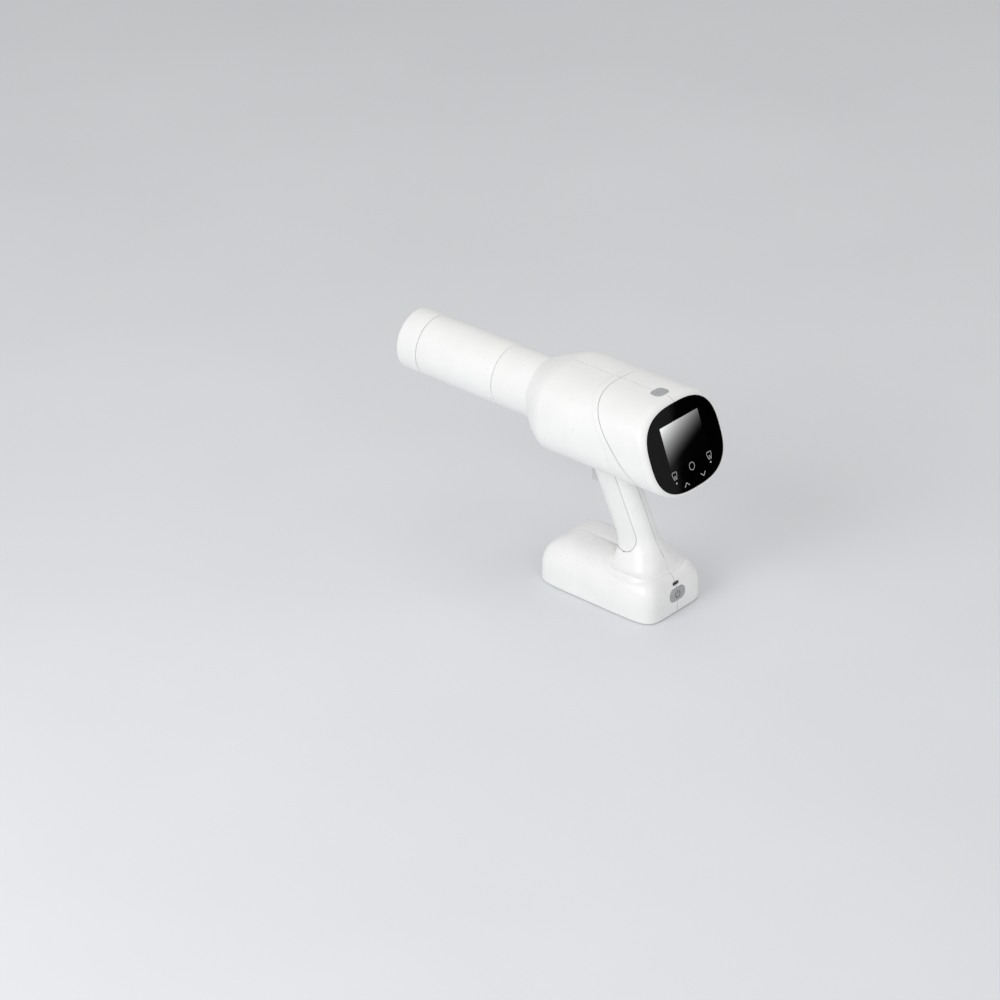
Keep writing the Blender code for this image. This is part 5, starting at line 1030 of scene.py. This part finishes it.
def top_button():
    """Stem, flange and a crowned cap with round edges, stacked as level rounded outlines."""
    top = AXIS_Z + BODY_B + BUTTON_PROUD
    flange_top = AXIS_Z + BODY_B - BODY_WALL - BUTTON_PLAY
    flange_low = flange_top - BUTTON_FLANGE
    size = np.array((BUTTON_A, BUTTON_B, BUTTON_CORNER))
    wide = size + (BUTTON_FLANGE, BUTTON_FLANGE, 0)
    stem = np.full(3, BUTTON_STEM)
    levels = [(stem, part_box("top_button")[0][2]/MM), (stem, flange_low), (wide, flange_low), (wide, flange_top),
              (size, flange_top)]
    for angle in np.linspace(0, pi/2, 9):
        levels.append((size - BUTTON_EDGE*(1 - cos(angle)), top - BUTTON_CROWN - BUTTON_EDGE*(1 - sin(angle))))
    for share in np.linspace(0, 0.92, 10)[1:]:
        levels.append(((size - BUTTON_EDGE)*(1 - share), top - BUTTON_CROWN*(1 - share)**2))
    rings = [at_level(rounded_outline(*sizes, CORNER_STEPS) + (0, BUTTON_Y), z) for sizes, z in levels]
    seat(loft("top_button_cap", rings, "grey_key"), "top_button", "top_button_body")


def button_spring():
    """The return spring: a helix of round wire."""
    anchor, top = (corner[2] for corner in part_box("top_button_spring"))
    angle = 2*pi*SPRING_TURNS*np.linspace(0, 1, 361)
    outward = np.column_stack([np.cos(angle), np.sin(angle), 0*angle])
    height = np.linspace(anchor/MM + SPRING_WIRE, top/MM - SPRING_WIRE, len(angle))
    middle = SPRING_RADIUS*outward + at_level(np.tile((0, BUTTON_Y), (len(angle), 1)), height)
    around = np.linspace(0, 2*pi, 16, endpoint=False)[None, :, None]
    rings = middle[:, None] + SPRING_WIRE*(np.cos(around)*outward[:, None] + np.sin(around)*(0.0, 0.0, 1.0))
    made = seat(loft("button_spring_wire", rings, "steel"), "top_button_spring")
    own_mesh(made)


def power_place(flat, depth):
    """Points of the power key's face, which follows the base's rear surface, at a depth behind it."""
    z = POWER_Z + flat[:, 1]
    return np.column_stack([flat[:, 0], -BASE_B + shoulder(z) - POWER_PROUD + depth, z])


def power_button():
    """The power key: rounded outlines that shrink to the middle, laid on the base's rear surface."""
    size = np.array((POWER_A, POWER_B, POWER_CORNER))
    levels = [(size - POWER_EDGE*(1 - cos(angle)), POWER_EDGE*(1 - sin(angle)))
              for angle in np.linspace(0, pi/2, 7)]
    levels += [((size - POWER_EDGE)*(1 - share), 0) for share in (0.25, 0.5, 0.75, 0.93)]
    rings = [power_place(rounded_outline(*sizes, CORNER_STEPS), depth) for sizes, depth in levels]
    rings.insert(0, rings[0]*(1, 0, 1) + (0, POWER_BACK, 0))
    key = loft("power_key", rings, "grey_key")
    (back, front), (x, z) = POWER_FLANGE, (POWER_FLANGE_A, POWER_FLANGE_B)
    carve(key, [block((-x, back, POWER_Z - z), (x, front, POWER_Z + z)),
                rod(POWER_PIN, "Y", *POWER_PIN_FRONT, (0, 0, POWER_Z), SMALL_STEPS)], "UNION")
    seat(key, "power_button", "power_button_body")
    arc = np.linspace(radians(125), radians(415), 60)
    ring = 3.4*np.column_stack([np.cos(arc), np.sin(arc)])
    for name, path in (("power_ring", ring), ("power_bar", [(0, 0.4), (0, 2.4), (0, 4.5)])):
        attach(ribbon(name, path, 1.0, False, power_place, "print_dark"), "power_button_body")


def dress_inner_nodes():
    """CAD nodes that stay get the procedural material of their own slot."""
    for name, item in frame["nodes"].items():
        if item.hide_render:
            continue
        for index, found in enumerate(item.data.materials):
            look = found.name.split(".")[0] if found else ""
            if look in LOOKS and found != LOOKS[look]:
                item.data.materials[index] = LOOKS[look]


# Room

def backdrop():
    """A pale floor that fills the picture."""
    floor = put("floor", [(-8e3, -8e3, 0), (8e3, -8e3, 0), (8e3, 8e3, 0), (-8e3, 8e3, 0)], [(0, 1, 2, 3)], "floor")
    floor.location.z = -0.05*MM


def flag():
    """A black card that shows in reflections only, off to the right of the panel: the glass mirrors it and stays
    black but for a strip along its left."""
    across = np.array((0.76, 0.65, 0.0))
    middle = np.array((0.65, -0.76, 0.01))*450 + (0, PANEL_Y, AXIS_Z)
    corners = [middle + across*a + (0, 0, b) for a, b in ((-116, -300), (500, -300), (500, 300), (143, 300))]
    card = put("flag", corners, [(0, 1, 2, 3)], "flag")
    card.visible_camera = card.visible_diffuse = card.visible_shadow = card.visible_transmission = False


def stand(name, data, place, right, up, back):
    """An object at a place, turned so that it looks along -back."""
    item = bpy.data.objects.new(name, data)
    bpy.context.scene.collection.objects.link(item)
    item.matrix_world = Matrix([[right[k], up[k], back[k], place[k]] for k in range(3)] + [[0, 0, 0, 1]])
    return item


def lamp(name, place, size, power):
    """A square softbox that faces the unit."""
    data = bpy.data.lights.new(name, "AREA")
    data.size, data.energy = size, power
    back = np.array(place) - (0, 0, 0.12)
    back /= np.linalg.norm(back)
    right = np.cross((0, 0, 1) if abs(back[2]) < 0.99 else (0, 1, 0), back)
    right /= np.linalg.norm(right)
    item = stand(name, data, place, right, np.cross(back, right), back)
    return item


def world():
    """Even pale light, the same pale grey in reflections."""
    made = bpy.data.worlds.new("studio")
    bpy.context.scene.world = made
    made.use_nodes = True
    light = made.node_tree.nodes["Background"]
    light.inputs["Color"].default_value = linear("#ffffff")
    light.inputs["Strength"].default_value = 0.54


def camera():
    """The viewpoint of the photograph."""
    right, up, back = np.array([(0.6653, -0.7466, 0), (0.3662, 0.3263, 0.8714), (-0.6506, -0.5797, 0.4905)])
    roll = radians(-0.494)
    right, up = cos(roll)*right + sin(roll)*up, cos(roll)*up - sin(roll)*right
    data = bpy.data.cameras.new("camera")
    data.lens, data.sensor_width, data.clip_end = 132.16, 36.0, 100.0
    bpy.context.scene.camera = stand("camera", data, (-2.4107, -1.9905, 1.8583), right, up, back)


LOOKS = make_looks()
for one in (1, -1):
    housing(one)
grip_cover()
for one in (1, -1):
    rear_cover(one)
cover_glass()
panel_symbols()
cone()
trigger()
top_button()
button_spring()
power_button()
dress_inner_nodes()
backdrop()
flag()
world()
camera()
lamp("key", (-2.2, 0.3, 1.4), 1.5, 27)
lamp("fill", (-1.4, -2.2, 1.6), 1.6, 10)
lamp("top", (0.2, 0.1, 2.4), 2.0, 7)
lamp("rim", (1.5, -2.0, 1.0), 1.0, 5).visible_glossy = False
bpy.context.scene.view_settings.view_transform = "Standard"
